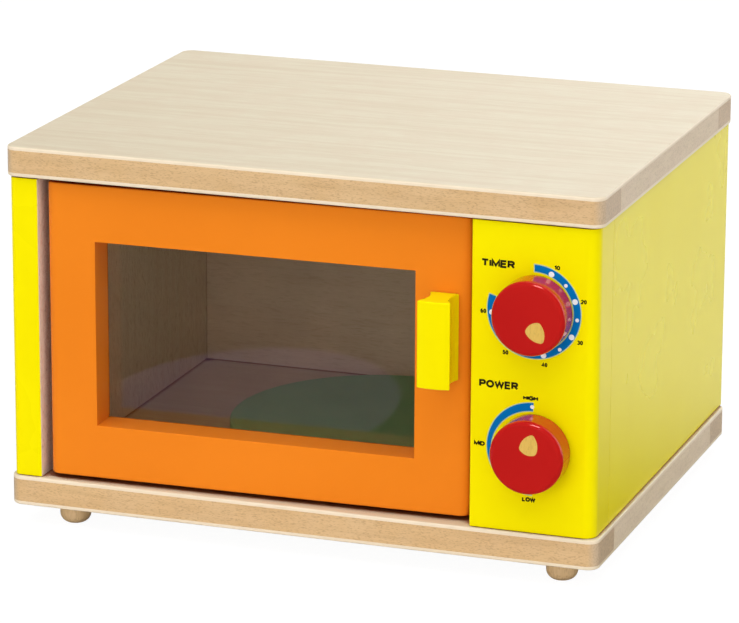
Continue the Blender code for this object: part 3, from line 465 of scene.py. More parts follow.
def carve(shape, cutters):  # takes the cutters out of the shape
    body = asObject("carving", shape)
    tools = [asObject("cutter", cutter) for cutter in cutters]
    for tool in tools:
        step = body.modifiers.new("cut", "BOOLEAN")
        step.operation, step.solver, step.object = "DIFFERENCE", "EXACT", tool
    carved = bmesh.new()
    carved.from_object(body, bpy.context.evaluated_depsgraph_get())
    for made in [body] + tools:
        bpy.data.objects.remove(made, do_unlink=True)
    return carved


# New pieces: shaded smooth with sharp edges past this angle, given their finishes and even normals, hung
# on a body, with the CAD pieces they replace hidden
sharpFrom = math.radians(30.0)


def addPiece(name, shape, looks, replaces=(), body="case"):
    bmesh.ops.remove_doubles(shape, verts=shape.verts, dist=touch / 20)
    bmesh.ops.recalc_face_normals(shape, faces=shape.faces)
    made = asObject(name, shape)
    made.data.shade_smooth()
    made.data.set_sharp_from_angle(angle=sharpFrom)
    for look in looks:
        made.data.materials.append(finishes[look])
    made.modifiers.new("even normals", "WEIGHTED_NORMAL").keep_sharp = True
    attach(made, body)
    if replaces:
        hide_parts(*replaces)
    return made


def pieceName(node):  # top_core becomes topCore
    first, *rest = node.split("_")
    return first + "".join(word.title() for word in rest)


# Top and base boards: core, two lippings and two veneers, with the glue lines closed up
boardSizes = {
    "corner": (7.0 * mm, 10), "topRound": (1.2 * mm, 4), "otherRound": (1.0 * mm, 4),
    "edgeFrom": 0.6,  # a veneer's face steeper than this is its edge
}


def makeBoard(prefix, sizes):
    def named(name):
        node = prefix + "_" + name
        return (node, *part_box(node))
    upper, lower = named("upper_veneer"), named("lower_veneer")
    front, rear = named("front_lipping"), named("rear_lipping")
    under, over = lower[2].z, upper[1].z
    shape = block((front[1].x, front[2].y, under), (front[2].x, rear[1].y, over))
    addPiece(prefix + "Core", shape, ["boardEdge"], [prefix + "_core"])
    for (node, low, high), outer in ((front, front[1].y), (rear, rear[2].y)):
        shape = block((low.x, low.y, under), (high.x, high.y, over))
        for x in (low.x, high.x):
            roundAt(shape, sizes["corner"], x=x, y=outer)
        addPiece(pieceName(node), shape, ["beechLipping"], [node])
    for (node, low, high), outer in ((upper, upper[2].z), (lower, lower[1].z)):
        shape = block(low, high)
        corners = [edge for edge in shape.edges
                   if abs(edge.verts[0].co.z - edge.verts[1].co.z) > touch]
        roundEdges(shape, corners, sizes["corner"])
        roundAt(shape, sizes["topRound" if node == "top_upper_veneer" else "otherRound"], z=outer)
        shape.normal_update()
        for face in shape.faces:
            face.material_index = int(abs(face.normal.z) < sizes["edgeFrom"])
        addPiece(pieceName(node), shape, ["birchVeneer", "veneerEdge"], [node])


for prefix in ("base", "top"):
    makeBoard(prefix, boardSizes)
print("boards made")


# Upright panels, painted outside and bare inside
panelSizes = {
    "edgeRound": (1.0 * mm, 6), "frontLeftRound": (3.2 * mm, 6), "corner": (7.0 * mm, 12),
    "leftRound": (1.2 * mm, 6), "topRound": (0.6 * mm, 3), "topGap": 0.5 * mm, "seam": 0.4 * mm,
    "thickness": 16.8 * mm, "bareFrom": 0.9,
}


def addPanel(node, shape, top, inside):  # the faces that look along inside stay unpainted
    roundAt(shape, panelSizes["topRound"], z=top)
    shape.normal_update()
    for face in shape.faces:
        if face.normal.dot(Vector(inside)) > panelSizes["bareFrom"]:
            face.material_index = 1
    addPiece(pieceName(node), shape, ["yellowPaint", "bareWood"], [node])


def makeSidePanels(sizes):
    low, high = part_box("left_side_panel")
    high.z -= sizes["topGap"]
    shape = block(low, high)
    for x, y in ((low.x, low.y), (high.x, low.y), (low.x, high.y), (high.x, high.y)):
        roundAt(shape, sizes["frontLeftRound" if (x, y) == (low.x, low.y) else "edgeRound"], x=x, y=y)
    addPanel("left_side_panel", shape, high.z, (1, 0, 0))

    low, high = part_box("right_side_panel")
    high.z -= sizes["topGap"]
    shape = block((low.x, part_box("control_panel")[1].y + sizes["seam"], low.z), high)
    for x in (low.x, high.x):
        roundAt(shape, sizes["edgeRound"], x=x, y=high.y)
    addPanel("right_side_panel", shape, high.z, (-1, 0, 0))


def makeControlPanel(sizes):  # a board whose right end turns back round the corner
    low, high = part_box("control_panel")
    high.z -= sizes["topGap"]
    back = low.y + sizes["thickness"]
    inner = high.x - sizes["thickness"]
    shape = block(low, (high.x, back, high.z))
    sliceAt(shape, (inner, 0, 0), (1, 0, 0))
    shape.normal_update()
    behind = [face for face in shape.faces
              if face.normal.y > sizes["bareFrom"] and face.calc_center_median().x > inner]
    grow(shape, behind, (0, high.y - back, 0))
    bmesh.ops.delete(shape, geom=behind, context="FACES")
    roundAt(shape, sizes["corner"], x=high.x, y=low.y)
    roundAt(shape, sizes["leftRound"], x=low.x, y=low.y)
    addPanel("control_panel", shape, high.z, (0, 1, 0))


makeSidePanels(panelSizes)
makeControlPanel(panelSizes)
print("panels made")


# Door, measured square to the case and then turned about its hinge to where it rests
hinge = next(joint for joint in frame["joints"] if joint["name"] == "door_hinge")
hingePlace = Vector(hinge["pos_m"])
doorSizes = {
    "left": -152.0 * mm, "right": 98.4 * mm, "front": boardFront + 4.5 * mm,
    "back": boardFront + 26.5 * mm, "bottom": underside + 19.6 * mm, "top": underside + 191.0 * mm,
    "windowLeft": -122.6 * mm, "windowRight": 66.0 * mm, "windowBottom": underside + 50.7 * mm,
    "windowTop": underside + 158.4 * mm, "rebate": 8.9 * mm, "rebateDepth": 3.3 * mm,
    "sideRound": (6.0 * mm, 10), "edgeRound": (1.2 * mm, 5), "revealRound": (0.45 * mm, 3),
    "pressedIn": 1.2, "overrun": 2.0 * mm,
}


def atRest(shape):  # turns a door piece about the hinge to its rest
    turn = Matrix.Rotation(math.radians(doorSizes["pressedIn"]), 4, "Z")
    return moveShape(shape, Matrix.Translation(hingePlace) @ turn @ Matrix.Translation(-hingePlace))


def makeDoorFrame(sizes):
    shape = block((sizes["left"], sizes["front"], sizes["bottom"]),
                  (sizes["right"], sizes["back"], sizes["top"]))
    for x in ("left", "right"):
        for y in ("front", "back"):
            roundAt(shape, sizes["sideRound"], x=sizes[x], y=sizes[y])
    for z in ("bottom", "top"):
        roundAt(shape, sizes["edgeRound"], z=sizes[z])

    def opening(margin, front):  # the window's block, wider by the margin, from front to past the back
        return block((sizes["windowLeft"] - margin, front, sizes["windowBottom"] - margin),
                     (sizes["windowRight"] + margin, sizes["back"] + sizes["overrun"],
                      sizes["windowTop"] + margin))
    shape = carve(shape, [opening(0.0, sizes["front"] - sizes["overrun"]),
                          opening(sizes["rebate"], sizes["back"] - sizes["rebateDepth"])])
    reveal = [edge for edge in edgesAt(shape, y=sizes["front"]) if all(
        sizes["windowLeft"] - touch < vert.co.x < sizes["windowRight"] + touch
        and sizes["windowBottom"] - touch < vert.co.z < sizes["windowTop"] + touch
        for vert in edge.verts)]
    roundEdges(shape, reveal, sizes["revealRound"])
    addPiece("doorFrame", atRest(shape), ["orangePaint"], ["door_frame"], "door")


makeDoorFrame(doorSizes)


handleSizes = {
    "centreX": 83.15 * mm, "centreZ": underside + 123.1 * mm, "height": 49.5 * mm, "depth": 21.9 * mm,
    "gap": 0.3 * mm, "crown": 1.2 * mm, "crownCuts": 8, "edgeRound": (0.8 * mm, 4),
    "arrisFrom": math.radians(40),
    # how wide it is at each share of its depth, from the door to the front
    "widths": ((0.00, 17.0), (0.06, 15.6), (0.13, 14.3), (0.22, 13.3), (0.32, 12.7), (0.42, 12.5),
               (0.52, 12.7), (0.62, 13.4), (0.72, 14.6), (0.81, 16.1), (0.89, 17.7), (1.00, 19.2)),
}


def makeHandle(sizes):
    front = doorSizes["front"] - sizes["gap"]
    reach = sizes["depth"] - sizes["crown"]
    half = 1.0 * mm  # made 2 mm wide, then widened layer by layer
    shape = block((-half, front - reach, sizes["centreZ"] - sizes["height"] / 2),
                  (half, front, sizes["centreZ"] + sizes["height"] / 2))
    for share, _ in sizes["widths"][1:-1]:
        sliceAt(shape, (0, front - reach * share, 0), (0, 1, 0))
    for share, width in sizes["widths"]:
        layer = [vert for vert in shape.verts if abs(vert.co.y - front + reach * share) < touch]
        bmesh.ops.scale(shape, vec=(width * mm / (2 * half), 1, 1), verts=layer)
    wide = sizes["widths"][-1][1] * mm / 2
    for cut in range(1, sizes["crownCuts"]):
        sliceAt(shape, (wide * (2 * cut / sizes["crownCuts"] - 1), 0, 0), (1, 0, 0))
    for vert in shape.verts:
        if abs(vert.co.y - front + reach) < touch:
            vert.co.y -= sizes["crown"] * (1 - (vert.co.x / wide) ** 2)
    shape.normal_update()
    arrises = [edge for edge in shape.edges
               if len(edge.link_faces) == 2 and edge.calc_face_angle() > sizes["arrisFrom"]]
    roundEdges(shape, arrises, sizes["edgeRound"])
    moveShape(shape, Matrix.Translation((sizes["centreX"], 0, 0)))
    addPiece("doorHandle", atRest(shape), ["yellowPaint"], ["door_handle"], "door")


makeHandle(handleSizes)
print("door made")


# Knobs, turned about Z and then laid so that they face -Y
knobSizes = {
    "radius": 21.0 * mm, "length": 15.7 * mm, "frontRound": (2.8 * mm, 10),
    "backRound": (0.6 * mm, 3), "steps": 128, "inlayProud": 0.05 * mm,
    "pointerTip": 15.0 * mm, "pointerRoot": 4.4 * mm, "pointerHalf": 5.0 * mm,
    "pointerBulge": 1.8 * mm, "pointerCorner": 1.2 * mm, "pointerDepth": 2.0 * mm, "sideCuts": 8,
    "cornerSteps": 4,
}
# where each pointer points, in degrees clockwise from up, and how much farther out it sits
knobTurns = {"timer_knob": (144.5, 0.5 * mm), "power_knob": (16.0, -0.3 * mm)}


def faceForward(place, turn=0.0):  # lays a shape made about +Z so that it points along -Y
    spin = Matrix.Rotation(math.radians(turn), 4, "Y")
    return Matrix.Translation(place) @ spin @ Matrix.Rotation(math.pi / 2, 4, "X")


def makeKnob(name, body, sizes):
    low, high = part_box(name)
    place = ((low.x + high.x) / 2, high.y, (low.z + high.z) / 2)
    top = sizes["length"] - sizes["inlayProud"]
    shape = disc(sizes["radius"], top, sizes["steps"])
    roundRim(shape, sizes["radius"], top, sizes["frontRound"])
    roundRim(shape, sizes["radius"], 0.0, sizes["backRound"])
    addPiece(pieceName(name), moveShape(shape, faceForward(place)), ["redPaint"], [name], body)

    # The pointer is a triangle with bulging sides and rounded corners
    turn, shift = knobTurns[name]
    shape = bmesh.new()
    corners = [shape.verts.new((x, y + shift, top - sizes["pointerDepth"])) for x, y in (
        (0.0, sizes["pointerTip"]), (-sizes["pointerHalf"], sizes["pointerRoot"]),
        (sizes["pointerHalf"], sizes["pointerRoot"]))]
    shape.faces.new(corners)
    middle = sum((vert.co for vert in corners), Vector()) / 3
    ends = [vert.co.copy() for vert in corners]
    bmesh.ops.subdivide_edges(shape, edges=shape.edges, cuts=sizes["sideCuts"])
    for vert in shape.verts:
        for first, second in zip(ends, ends[1:] + ends[:1]):
            span = second - first
            share = (vert.co - first).dot(span) / span.length_squared
            if touch < share < 1 - touch and (first + span * share - vert.co).length < touch:
                outwards = (first + second) / 2 - middle
                outwards -= span * outwards.dot(span) / span.length_squared
                vert.co += outwards.normalized() * sizes["pointerBulge"] * 4 * share * (1 - share)
                break
    tips = [vert for vert in shape.verts if any((vert.co - end).length < touch for end in ends)]
    bmesh.ops.bevel(shape, geom=tips, offset=sizes["pointerCorner"], segments=sizes["cornerSteps"],
                    profile=0.5, affect="VERTICES", material=-1)
    grow(shape, shape.faces[:], (0, 0, sizes["pointerDepth"] + sizes["inlayProud"]))
    moveShape(shape, faceForward(place, turn))
    addPiece(body.replace("_dial", "Pointer"), shape, ["inlayWood"], [name + "_pointer"], body)


makeKnob("timer_knob", "timer_dial", knobSizes)
makeKnob("power_knob", "power_dial", knobSizes)
print("knobs made")


# Print on the control panel: scales, numbers and words
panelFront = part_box("control_panel")[0].y
printSizes = {
    "timerX": 136.6 * mm, "powerX": 136.9 * mm, "timerZ": underside + 143.85 * mm,
    "powerZ": underside + 63.4 * mm, "bandInner": 22.55 * mm, "bandOuter": 26.45 * mm,
    "dotShift": (0.3 * mm, -0.65 * mm),
    "timerSweep": 287.0, "bandSteps": 96, "rim": 0.5 * mm, "sunk": 0.01 * mm,
    "rimThick": 0.03 * mm, "bandThick": 0.05 * mm, "dotThick": 0.08 * mm, "wordThick": 0.06 * mm,
    "dotRing": 24.2 * mm, "bigDots": (22.4, 70.0, 119.0, 167.0, 216.0, 265.5), "bigDot": 1.6 * mm,
    "smallDots": (46.0, 94.5, 143.0, 240.7), "smallDot": 1.05 * mm,
    "powerInner": 24.1 * mm, "powerOuter": 26.4 * mm, "powerShift": (0.3 * mm, 2.3 * mm),
    "powerDot": (-0.5 * mm, 26.4 * mm, 1.15 * mm),
}
# text: (centre x, centre height above the base's underside, width, height, stroke), in mm
printWords = {
    "TIMER": (115.85, 168.9, 19.4, 4.45, 1.18), "POWER": (117.1, 100.6, 22.5, 4.45, 1.18),
    "HIGH": (135.4, 94.7, 8.6, 2.65, 0.84), "MID": (106.4, 66.0, 6.3, 2.65, 0.84),
    "LOW": (135.2, 36.6, 7.8, 2.7, 0.84),
}
timerNumbers = {  # across and up from the timer's centre, in mm
    "10": (12.7, 25.75), "20": (28.0, 8.05), "30": (26.25, -15.0), "40": (6.4, -29.4),
    "50": (-15.9, -24.5), "60": (-28.8, -2.25),
}
numberSize = (3.35, 2.5, 0.66)      # width, height and stroke, in mm


def printPlace(x, z):
    return faceForward((x, panelFront + printSizes["sunk"], z))


def sector(inner, outer, thick, sweep, start=0.0):
    # A flat ring sector, clockwise from 12 o'clock as seen from the front
    shape = bmesh.new()
    corners = [shape.verts.new((0.0, y, z)) for y, z in (
        (inner, 0.0), (outer, 0.0), (outer, thick), (inner, thick))]
    face = shape.faces.new(corners)
    bmesh.ops.rotate(shape, cent=(0, 0, 0), matrix=Matrix.Rotation(-start, 3, "Z"), verts=shape.verts)
    bmesh.ops.spin(shape, geom=shape.verts[:] + shape.edges[:] + [face], axis=(0, 0, 1),
                   cent=(0, 0, 0), angle=-sweep, steps=printSizes["bandSteps"])
    return shape


def joinShapes(shapes):
    whole = bmesh.new()
    for shape in shapes:
        mesh = bpy.data.meshes.new("part")
        shape.to_mesh(mesh)
        shape.free()
        whole.from_mesh(mesh)
        bpy.data.meshes.remove(mesh)
    return whole


def makeTimerScale(sizes):
    centre = printPlace(sizes["timerX"], sizes["timerZ"])
    sweep = math.radians(sizes["timerSweep"])
    extra = sizes["rim"] / sizes["bandOuter"]
    rim = sector(sizes["bandInner"] - sizes["rim"], sizes["bandOuter"] + sizes["rim"],
                 sizes["rimThick"], sweep + 2 * extra, -extra)
    addPiece("timerBandRim", moveShape(rim, centre), ["paleInk"])
    band = sector(sizes["bandInner"], sizes["bandOuter"], sizes["bandThick"], sweep)
    addPiece("timerBand", moveShape(band, centre), ["blueInk"])
    dots = []
    for size in ("bigDot", "smallDot"):
        for angle in sizes[size + "s"]:
            away = Matrix.Rotation(-math.radians(angle), 4, "Z") @ Vector((0.0, sizes["dotRing"], 0.0))
            dots.append(moveShape(disc(sizes[size], sizes["dotThick"]), Matrix.Translation(away)))
    centre = centre @ Matrix.Translation((*sizes["dotShift"], 0.0))
    addPiece("timerDots", moveShape(joinShapes(dots), centre), ["whiteInk"])


def makePowerScale(sizes):
    centre = printPlace(sizes["powerX"], sizes["powerZ"])
    shiftX, shiftY = sizes["powerShift"]
    for name, wider, thick, look in (
            ("powerBandRim", sizes["rim"], sizes["rimThick"], "paleInk"),
            ("powerBand", 0.0, sizes["bandThick"], "blueInk")):
        inner, outer = sizes["powerInner"] - wider, sizes["powerOuter"] + wider
        shape = sector(inner, outer, thick, -math.pi)
        outside = [vert for vert in shape.verts if vert.co.xy.length > (inner + outer) / 2]
        bmesh.ops.translate(shape, vec=(shiftX, shiftY, 0.0), verts=outside)
        addPiece(name, moveShape(shape, centre), [look])
    x, y, radius = sizes["powerDot"]
    dot = moveShape(disc(radius, sizes["dotThick"]), Matrix.Translation((x, y, 0.0)))
    addPiece("powerDot", moveShape(dot, centre), ["whiteInk"])


# Plain stroke letters on a grid one unit high: how wide each is, and its strokes.
# A stroke is a run of points; four numbers with a start and an end angle make an arc
# (middle x, middle y, half-width, half-height, from, to), in degrees anticlockwise from +X.
letters = {
    "T": (0.84, ["0,1 0.84,1", "0.42,1 0.42,0"]),
    "I": (0.0, ["0,0 0,1"]),
    "M": (0.90, ["0,0 0,1 0.45,0.12 0.90,1 0.90,0"]),
    "E": (0.68, ["0.68,1 0,1 0,0 0.68,0", "0,0.52 0.62,0.52"]),
    "R": (0.76, ["0,0 0,1 0.44,1 a0.44,0.76,0.28,0.24,90,-90 0.44,0.52 0,0.52", "0.36,0.52 0.74,0"]),
    "P": (0.72, ["0,0 0,1 0.44,1 a0.44,0.74,0.28,0.26,90,-90 0.44,0.48 0,0.48"]),
    "O": (0.92, ["a0.46,0.5,0.46,0.5,90,450"]),
    "W": (1.20, ["0,1 0.30,0.06 0.60,0.92 0.90,0.06 1.20,1"]),
    "H": (0.76, ["0,0 0,1", "0.76,0 0.76,1", "0,0.52 0.76,0.52"]),
    "G": (0.90, ["a0.46,0.5,0.46,0.5,42,330 0.87,0.25 0.87,0.48 0.50,0.48"]),
    "D": (0.80, ["0,0 0,1 0.36,1 a0.36,0.5,0.44,0.5,90,-90 0.36,0 0,0"]),
    "L": (0.62, ["0,1 0,0 0.62,0"]),
    "0": (0.58, ["a0.29,0.5,0.29,0.5,90,450"]),
    "1": (0.28, ["0,0.78 0.28,1 0.28,0"]),
    "2": (0.56, ["a0.28,0.71,0.28,0.29,170,-35 0,0 0.58,0"]),
    "3": (0.56, ["a0.27,0.76,0.25,0.24,160,-90", "a0.27,0.26,0.29,0.26,90,-160"]),
    "4": (0.62, ["0.46,0 0.46,1 0,0.28 0.62,0.28"]),
    "5": (0.56, ["0.52,1 0.08,1 0.03,0.52 a0.27,0.33,0.29,0.33,125,-155"]),
    "6": (0.56, ["a0.28,0.31,0.28,0.31,90,450", "a0.31,0.5,0.30,0.5,60,190"]),
}
# space is in letter heights; each stroke lies one layer above the last, so that none share a face
letterSizes = {"space": 0.38, "arcSteps": 14, "layer": 0.002 * mm, "same": 0.001 * mm, "mitre": 0.45}


def strokePoints(text):
    points = []
    for item in text.split():
        numbers = [float(part) for part in item.lstrip("a").split(",")]
        if not item.startswith("a"):
            points.append(Vector(numbers))
            continue
        x, y, wide, high, start, end = numbers
        for step in range(letterSizes["arcSteps"] + 1):
            angle = math.radians(start + (end - start) * step / letterSizes["arcSteps"])
            points.append(Vector((x + wide * math.cos(angle), y + high * math.sin(angle))))
    return points


def ribbon(points, width, thick):  # a flat mitred ribbon along the points
    points = [point for index, point in enumerate(points)
              if index == 0 or (point - points[index - 1]).length > letterSizes["same"]]
    closed = (points[0] - points[-1]).length < letterSizes["same"]
    shape = bmesh.new()
    rows = []
    for index, point in enumerate(points):
        before = (point - points[index - 1]).normalized() if index else None
        after = (points[index + 1] - point).normalized() if index + 1 < len(points) else None
        if closed and index in (0, len(points) - 1):
            before, after = (points[-1] - points[-2]).normalized(), (points[1] - points[0]).normalized()
        along = ((before or after) + (after or before)).normalized()
        across = Vector((-along.y, along.x))
        side = Vector((-(after or before).y, (after or before).x))
        reach = width / 2 / max(across.dot(side), letterSizes["mitre"])
        rows.append([shape.verts.new((*(point + across * way * reach), 0.0)) for way in (-1, 1)])
    faces = [shape.faces.new((one[0], two[0], two[1], one[1])) for one, two in zip(rows, rows[1:])]
    grow(shape, faces, (0, 0, thick))
    return shape


def wordShape(text, width, height, stroke):  # plain lettering, fitted to the width and height it has
    tall = (height - stroke) * mm
    space = letterSizes["space"] * tall
    total = sum(letters[letter][0] for letter in text) * tall
    stretch = (width * mm - stroke * mm - space * (len(text) - 1)) / total
    parts, left = [], -(width - stroke) * mm / 2
    for letter in text:
        wide, strokes = letters[letter]
        for line in strokes:
            points = [Vector((left + point.x * tall * stretch, (point.y - 0.5) * tall))
                      for point in strokePoints(line)]
            thick = printSizes["wordThick"] + len(parts) * letterSizes["layer"]
            parts.append(ribbon(points, stroke * mm, thick))
        left += wide * tall * stretch + space
    return joinShapes(parts)


def makeWords():
    for text, (x, z, width, height, stroke) in printWords.items():
        place = printPlace(x * mm, underside + z * mm)
        shape = moveShape(wordShape(text, width, height, stroke), place)
        addPiece("word" + text.title(), shape, ["blackInk"])
    numbers = []
    for text, (x, z) in timerNumbers.items():
        place = printPlace(printSizes["timerX"] + x * mm, printSizes["timerZ"] + z * mm)
        numbers.append(moveShape(wordShape(text, *numberSize), place))
    addPiece("timerNumbers", joinShapes(numbers), ["blackInk"])


makeTimerScale(printSizes)
makePowerScale(printSizes)
makeWords()
print("dial print made")


# Feet, turntable, hinge washer and screws
footSizes = {
    "radius": 8.95 * mm, "shift": 0.3 * mm, "edgeRound": (5.7 * mm, 12), "steps": 64,
    "sunk": 0.1 * mm,
}


def makeFoot(node, sizes):
    shape = disc(sizes["radius"], underside + sizes["sunk"], sizes["steps"])
    roundRim(shape, sizes["radius"], 0.0, sizes["edgeRound"])
    place = Vector(underMiddle(node, 0.0)) + Vector((sizes["shift"], 0.0, 0.0))
    addPiece(pieceName(node), moveShape(shape, Matrix.Translation(place)), ["turnedBeech"], [node])


for row in ("front", "rear"):
    for side in ("left", "right"):
        makeFoot("foot_" + row + "_" + side, footSizes)


turntableSizes = {"edgeRound": (1.5 * mm, 5), "steps": 160}


def makeTurntable(sizes):
    low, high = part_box("turntable_disc")
    radius, thick = (high.x - low.x) / 2, high.z - low.z
    shape = disc(radius, thick, sizes["steps"])
    for height in (0.0, thick):
        roundRim(shape, radius, height, sizes["edgeRound"])
    moveShape(shape, Matrix.Translation(underMiddle("turntable_disc", low.z)))
    addPiece("turntableDisc", shape, ["greenPaint"], ["turntable_disc"], "turntable")


makeTurntable(turntableSizes)


screwSizes = {
    "head": 4.0 * mm, "headDepth": 2.6 * mm, "shank": 1.9 * mm, "length": 40.0 * mm, "tip": 4.0 * mm,
    "crossLong": 4.4 * mm, "crossWide": 1.0 * mm, "crossDeep": 1.3 * mm,
}
handleScrewSizes = {
    "head": 3.4 * mm, "headDepth": 2.2 * mm, "shank": 1.6 * mm, "length": 32.0 * mm, "tip": 3.0 * mm,
    "crossLong": 3.6 * mm, "crossWide": 0.9 * mm, "crossDeep": 1.1 * mm,
}
screwSteps = 32
screwProud = 0.05 * mm


def screwShape(sizes):  # head down at z 0, with a cross recess
    shape = turned([(0.0, 0.0), (sizes["head"], 0.0), (sizes["shank"], sizes["headDepth"]),
                    (sizes["shank"], sizes["length"] - sizes["tip"]), (0.0, sizes["length"])],
                   screwSteps)
    long, wide, deep = sizes["crossLong"] / 2, sizes["crossWide"] / 2, sizes["crossDeep"]
    cross = [block((-x, -y, -deep), (x, y, deep)) for x, y in ((long, wide), (wide, long))]
    return carve(shape, cross)


def makeScrews():
    for side in ("left", "right", "partition"):
        for row in ("front", "rear"):
            node = "_".join(("base_screw", side, row))
            place = Matrix.Translation(underMiddle(node, underside - screwProud))
            addPiece(pieceName(node), moveShape(screwShape(screwSizes), place), ["steel"], [node])
    for end in ("upper", "lower"):
        node = "handle_screw_" + end
        low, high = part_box(node)
        place = (handleSizes["centreX"], doorSizes["back"] + screwProud, (low.z + high.z) / 2)
        shape = moveShape(screwShape(handleScrewSizes), faceForward(place))
        addPiece(pieceName(node), atRest(shape), ["steel"], [node], "door")


makeScrews()


washerSizes = {"hole": 2.3 * mm, "edgeRound": (0.3 * mm, 3), "steps": 48}


def makeHingeWasher(sizes):
    low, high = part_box("hinge_washer")
    outer, thick = (high.x - low.x) / 2, min(high.z, doorSizes["bottom"]) - low.z
    shape = turned([(sizes["hole"], 0.0), (outer, 0.0), (outer, thick), (sizes["hole"], thick)],
                   sizes["steps"], closed=True)
    for height in (0.0, thick):
        roundRim(shape, outer, height, sizes["edgeRound"])
    moveShape(shape, Matrix.Translation(underMiddle("hinge_washer", low.z)))
    addPiece("hingeWasher", shape, ["steel"], ["hinge_washer"])


makeHingeWasher(washerSizes)
print("small parts made")


# CAD pieces that keep their shape and get a finish
def nodesNamed(*words):
    return [name for name in nodes if any(word in name for word in words)]


nodeFinishes = {
    "bareWood": ["partition_panel"], "backWood": ["back_panel"], "smokedAcrylic": ["window_pane"],
    "orangePaint": nodesNamed("pane_strip"), "felt": nodesNamed("knob_washer", "turntable_washer"),
    "steel": nodesNamed("door_magnet", "striker_disc", "hinge_pin"),
    "turnedBeech": nodesNamed("catch_block", "turntable_hub", "turntable_pin", "dowel", "axle", "collar"),
}
for look, names in nodeFinishes.items():
    for name in names:
        nodes[name].material_slots[0].material = finishes[look]
print("CAD pieces finished:", sum(len(names) for names in nodeFinishes.values()))


# Floor, surroundings and lamps
floorLook = {
    "half": 6.0, "colour": (0.80, 0.80, 0.80), "seenShare": 0.12, "seenGlow": 0.955,
    "darkGloss": 0.03, "frontFrom": -0.05, "frontTo": 0.35,
    # the pool is a painted reflection: a patch of floor that glows in gloss and glass alone
    "poolPlace": (-0.123, -0.2513, 0.0), "poolFlat": (1.0, 0.72, 1.0), "poolRadius": 0.094,
    "poolEdge": 0.0015, "poolGloss": 0.50, "poolColour": (0.62, 0.45, 0.85), "dustShade": 0.99,
    "dustNoise": (3.0, 3.0), "dustRange": (0.3, 0.7),
}


def makeFloor(look):
    shape = bmesh.new()
    bmesh.ops.create_grid(shape, x_segments=1, y_segments=1, size=look["half"])
    floor = asObject("floor", shape)
    made, tree, shader, place = newMaterial("studioFloor")
    floor.data.materials.append(made)
    # A lamp lights this part, and holds the object's shadow
    dust = ramp(tree, noise(tree, place, *look["dustNoise"])["Fac"], *look["dustRange"])
    dusty = tuple(look["dustShade"] * part for part in look["colour"])
    pale = mixColour(tree, dust, look["colour"], dusty)
    lit = addNode(tree, "BsdfDiffuse", {"Color": pale})[0]
    rays = addNode(tree, "LightPath", {})
    # The camera sees it white, with a faint shadow
    faint = mixColour(tree, 1.0, pale, (look["seenShare"],) * 3, "MULTIPLY")
    seen = addNode(tree, "AddShader", {
        0: addNode(tree, "BsdfDiffuse", {"Color": faint})[0],
        1: addNode(tree, "Emission", {"Strength": look["seenGlow"]})[0]})[0]
    # A painted reflection: to gloss and glass the floor glows white behind the toy and dim before it,
    # with one lighter pool there
    along = addNode(tree, "SeparateXYZ", {0: place})["Y"]
    glow = ramp(tree, along, look["frontFrom"], look["frontTo"], look["darkGloss"], 1.0)
    flat = vectorMath(tree, "MULTIPLY", place, look["poolFlat"])["Vector"]
    away = vectorMath(tree, "DISTANCE", flat, look["poolPlace"])["Value"]
    radius, edge = look["poolRadius"], look["poolEdge"]
    pool = ramp(tree, away, radius - edge, radius + edge, 1.0, 0.0)
    shine = calc(tree, "MAXIMUM", glow, calc(tree, "MULTIPLY", pool, look["poolGloss"]))
    hue = mixColour(tree, pool, (1.0, 1.0, 1.0), look["poolColour"])
    mirrored = addNode(tree, "Emission", {"Color": hue, "Strength": shine})[0]
    sharp = calc(tree, "MAXIMUM", rays["Is Glossy Ray"], rays["Is Transmission Ray"])
    inner = addNode(tree, "MixShader", {0: sharp, 1: lit, 2: mirrored})[0]
    mixToSurface(tree, rays["Is Camera Ray"], inner, seen)
    tree.nodes.remove(shader)


# The sky lights the toy softly, mostly from the front and from above it; gloss sees a dim room
# before the toy and a pale wall behind it
worldLook = {
    "base": 0.20, "fromFront": 2.19, "fromAbove": 3.18, "fromRight": 0.28, "roomDark": 0.03,
    "wallDim": 0.20, "wallBright": 2.00,
    # where each starts and ends, as the part of a direction along x, y or z
    "frontRange": (-1.0, -0.70), "aboveRange": (0.50, 1.0), "forwardRange": (-0.4, 0.3),
    "wallRange": (-0.45, -0.20), "behindRange": (-0.1, 0.3),
}


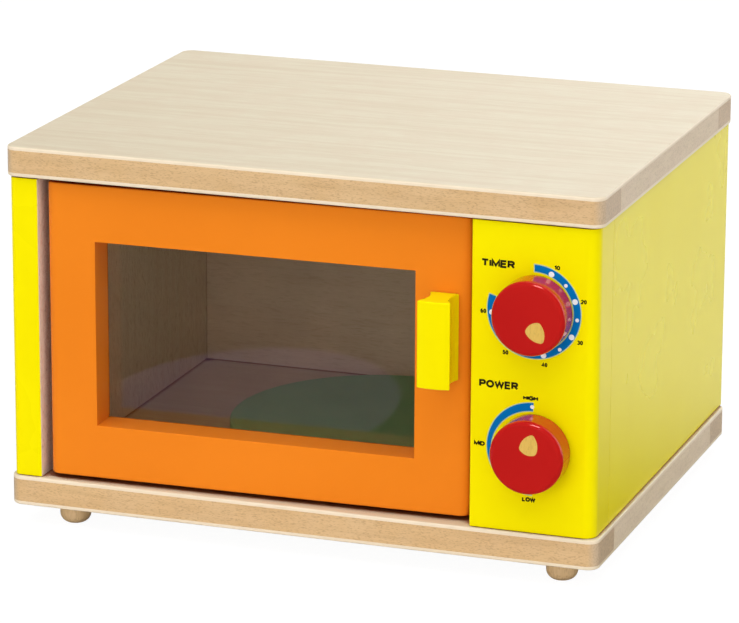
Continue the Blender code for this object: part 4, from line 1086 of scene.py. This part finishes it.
def makeWorld(look):
    world = bpy.data.worlds.new("studio")
    bpy.context.scene.world = world
    world.use_nodes = True
    tree = world.node_tree
    parts = addNode(tree, "SeparateXYZ", {0: addNode(tree, "TexCoord", {})["Generated"]})
    front = ramp(tree, parts["Y"], *look["frontRange"], look["fromFront"], 0.0)
    above = calc(tree, "MULTIPLY", ramp(tree, parts["Z"], *look["aboveRange"], 0.0, look["fromAbove"]),
                 ramp(tree, parts["Y"], *look["forwardRange"], 1.0, 0.0))
    right = ramp(tree, parts["X"], 0.0, 1.0, 0.0, look["fromRight"])
    soft = calc(tree, "ADD", calc(tree, "ADD", front, above), calc(tree, "ADD", right, look["base"]))
    wall = ramp(tree, parts["X"], *look["wallRange"], look["wallDim"], look["wallBright"])
    behind = ramp(tree, parts["Y"], *look["behindRange"])
    mirrored = calc(tree, "MAXIMUM", calc(tree, "MULTIPLY", wall, behind), look["roomDark"])
    rays = addNode(tree, "LightPath", {})
    strength = addNode(tree, "Mix", {0: rays["Is Glossy Ray"], 2: soft, 3: mirrored})[0]
    level = calc(tree, "MAXIMUM", strength, rays["Is Camera Ray"])
    setInputs(tree, tree.nodes["Background"], {"Color": (1.0, 1.0, 1.0, 1.0), "Strength": level})
    world.cycles.sampling_method = "NONE"  # so that gloss only ever meets the mirrored room


# One lamp, seen in gloss alone; the sky gives the even light
lampLook = {
    "name": "softbox", "direction": (0.10, -0.635, 0.766), "distance": 2.2, "width": 0.65,
    "height": 0.32, "watts": 16.0, "target": (0.0, 0.0, 0.10),
}


def makeLamp(look):
    data = bpy.data.lights.new(look["name"], "AREA")
    data.shape = "RECTANGLE"
    data.size, data.size_y = look["width"], look["height"]
    data.energy = look["watts"]
    lamp = bpy.data.objects.new(look["name"], data)
    lamp.visible_diffuse = False
    towards = Vector(look["direction"]).normalized()
    lamp.location = Vector(look["target"]) + towards * look["distance"]
    lamp.rotation_euler = towards.to_track_quat("Z", "Y").to_euler()
    bpy.context.scene.collection.objects.link(lamp)


makeFloor(floorLook)
makeWorld(worldLook)
makeLamp(lampLook)
bpy.context.scene.view_settings.view_transform = "Standard"
print("studio made")
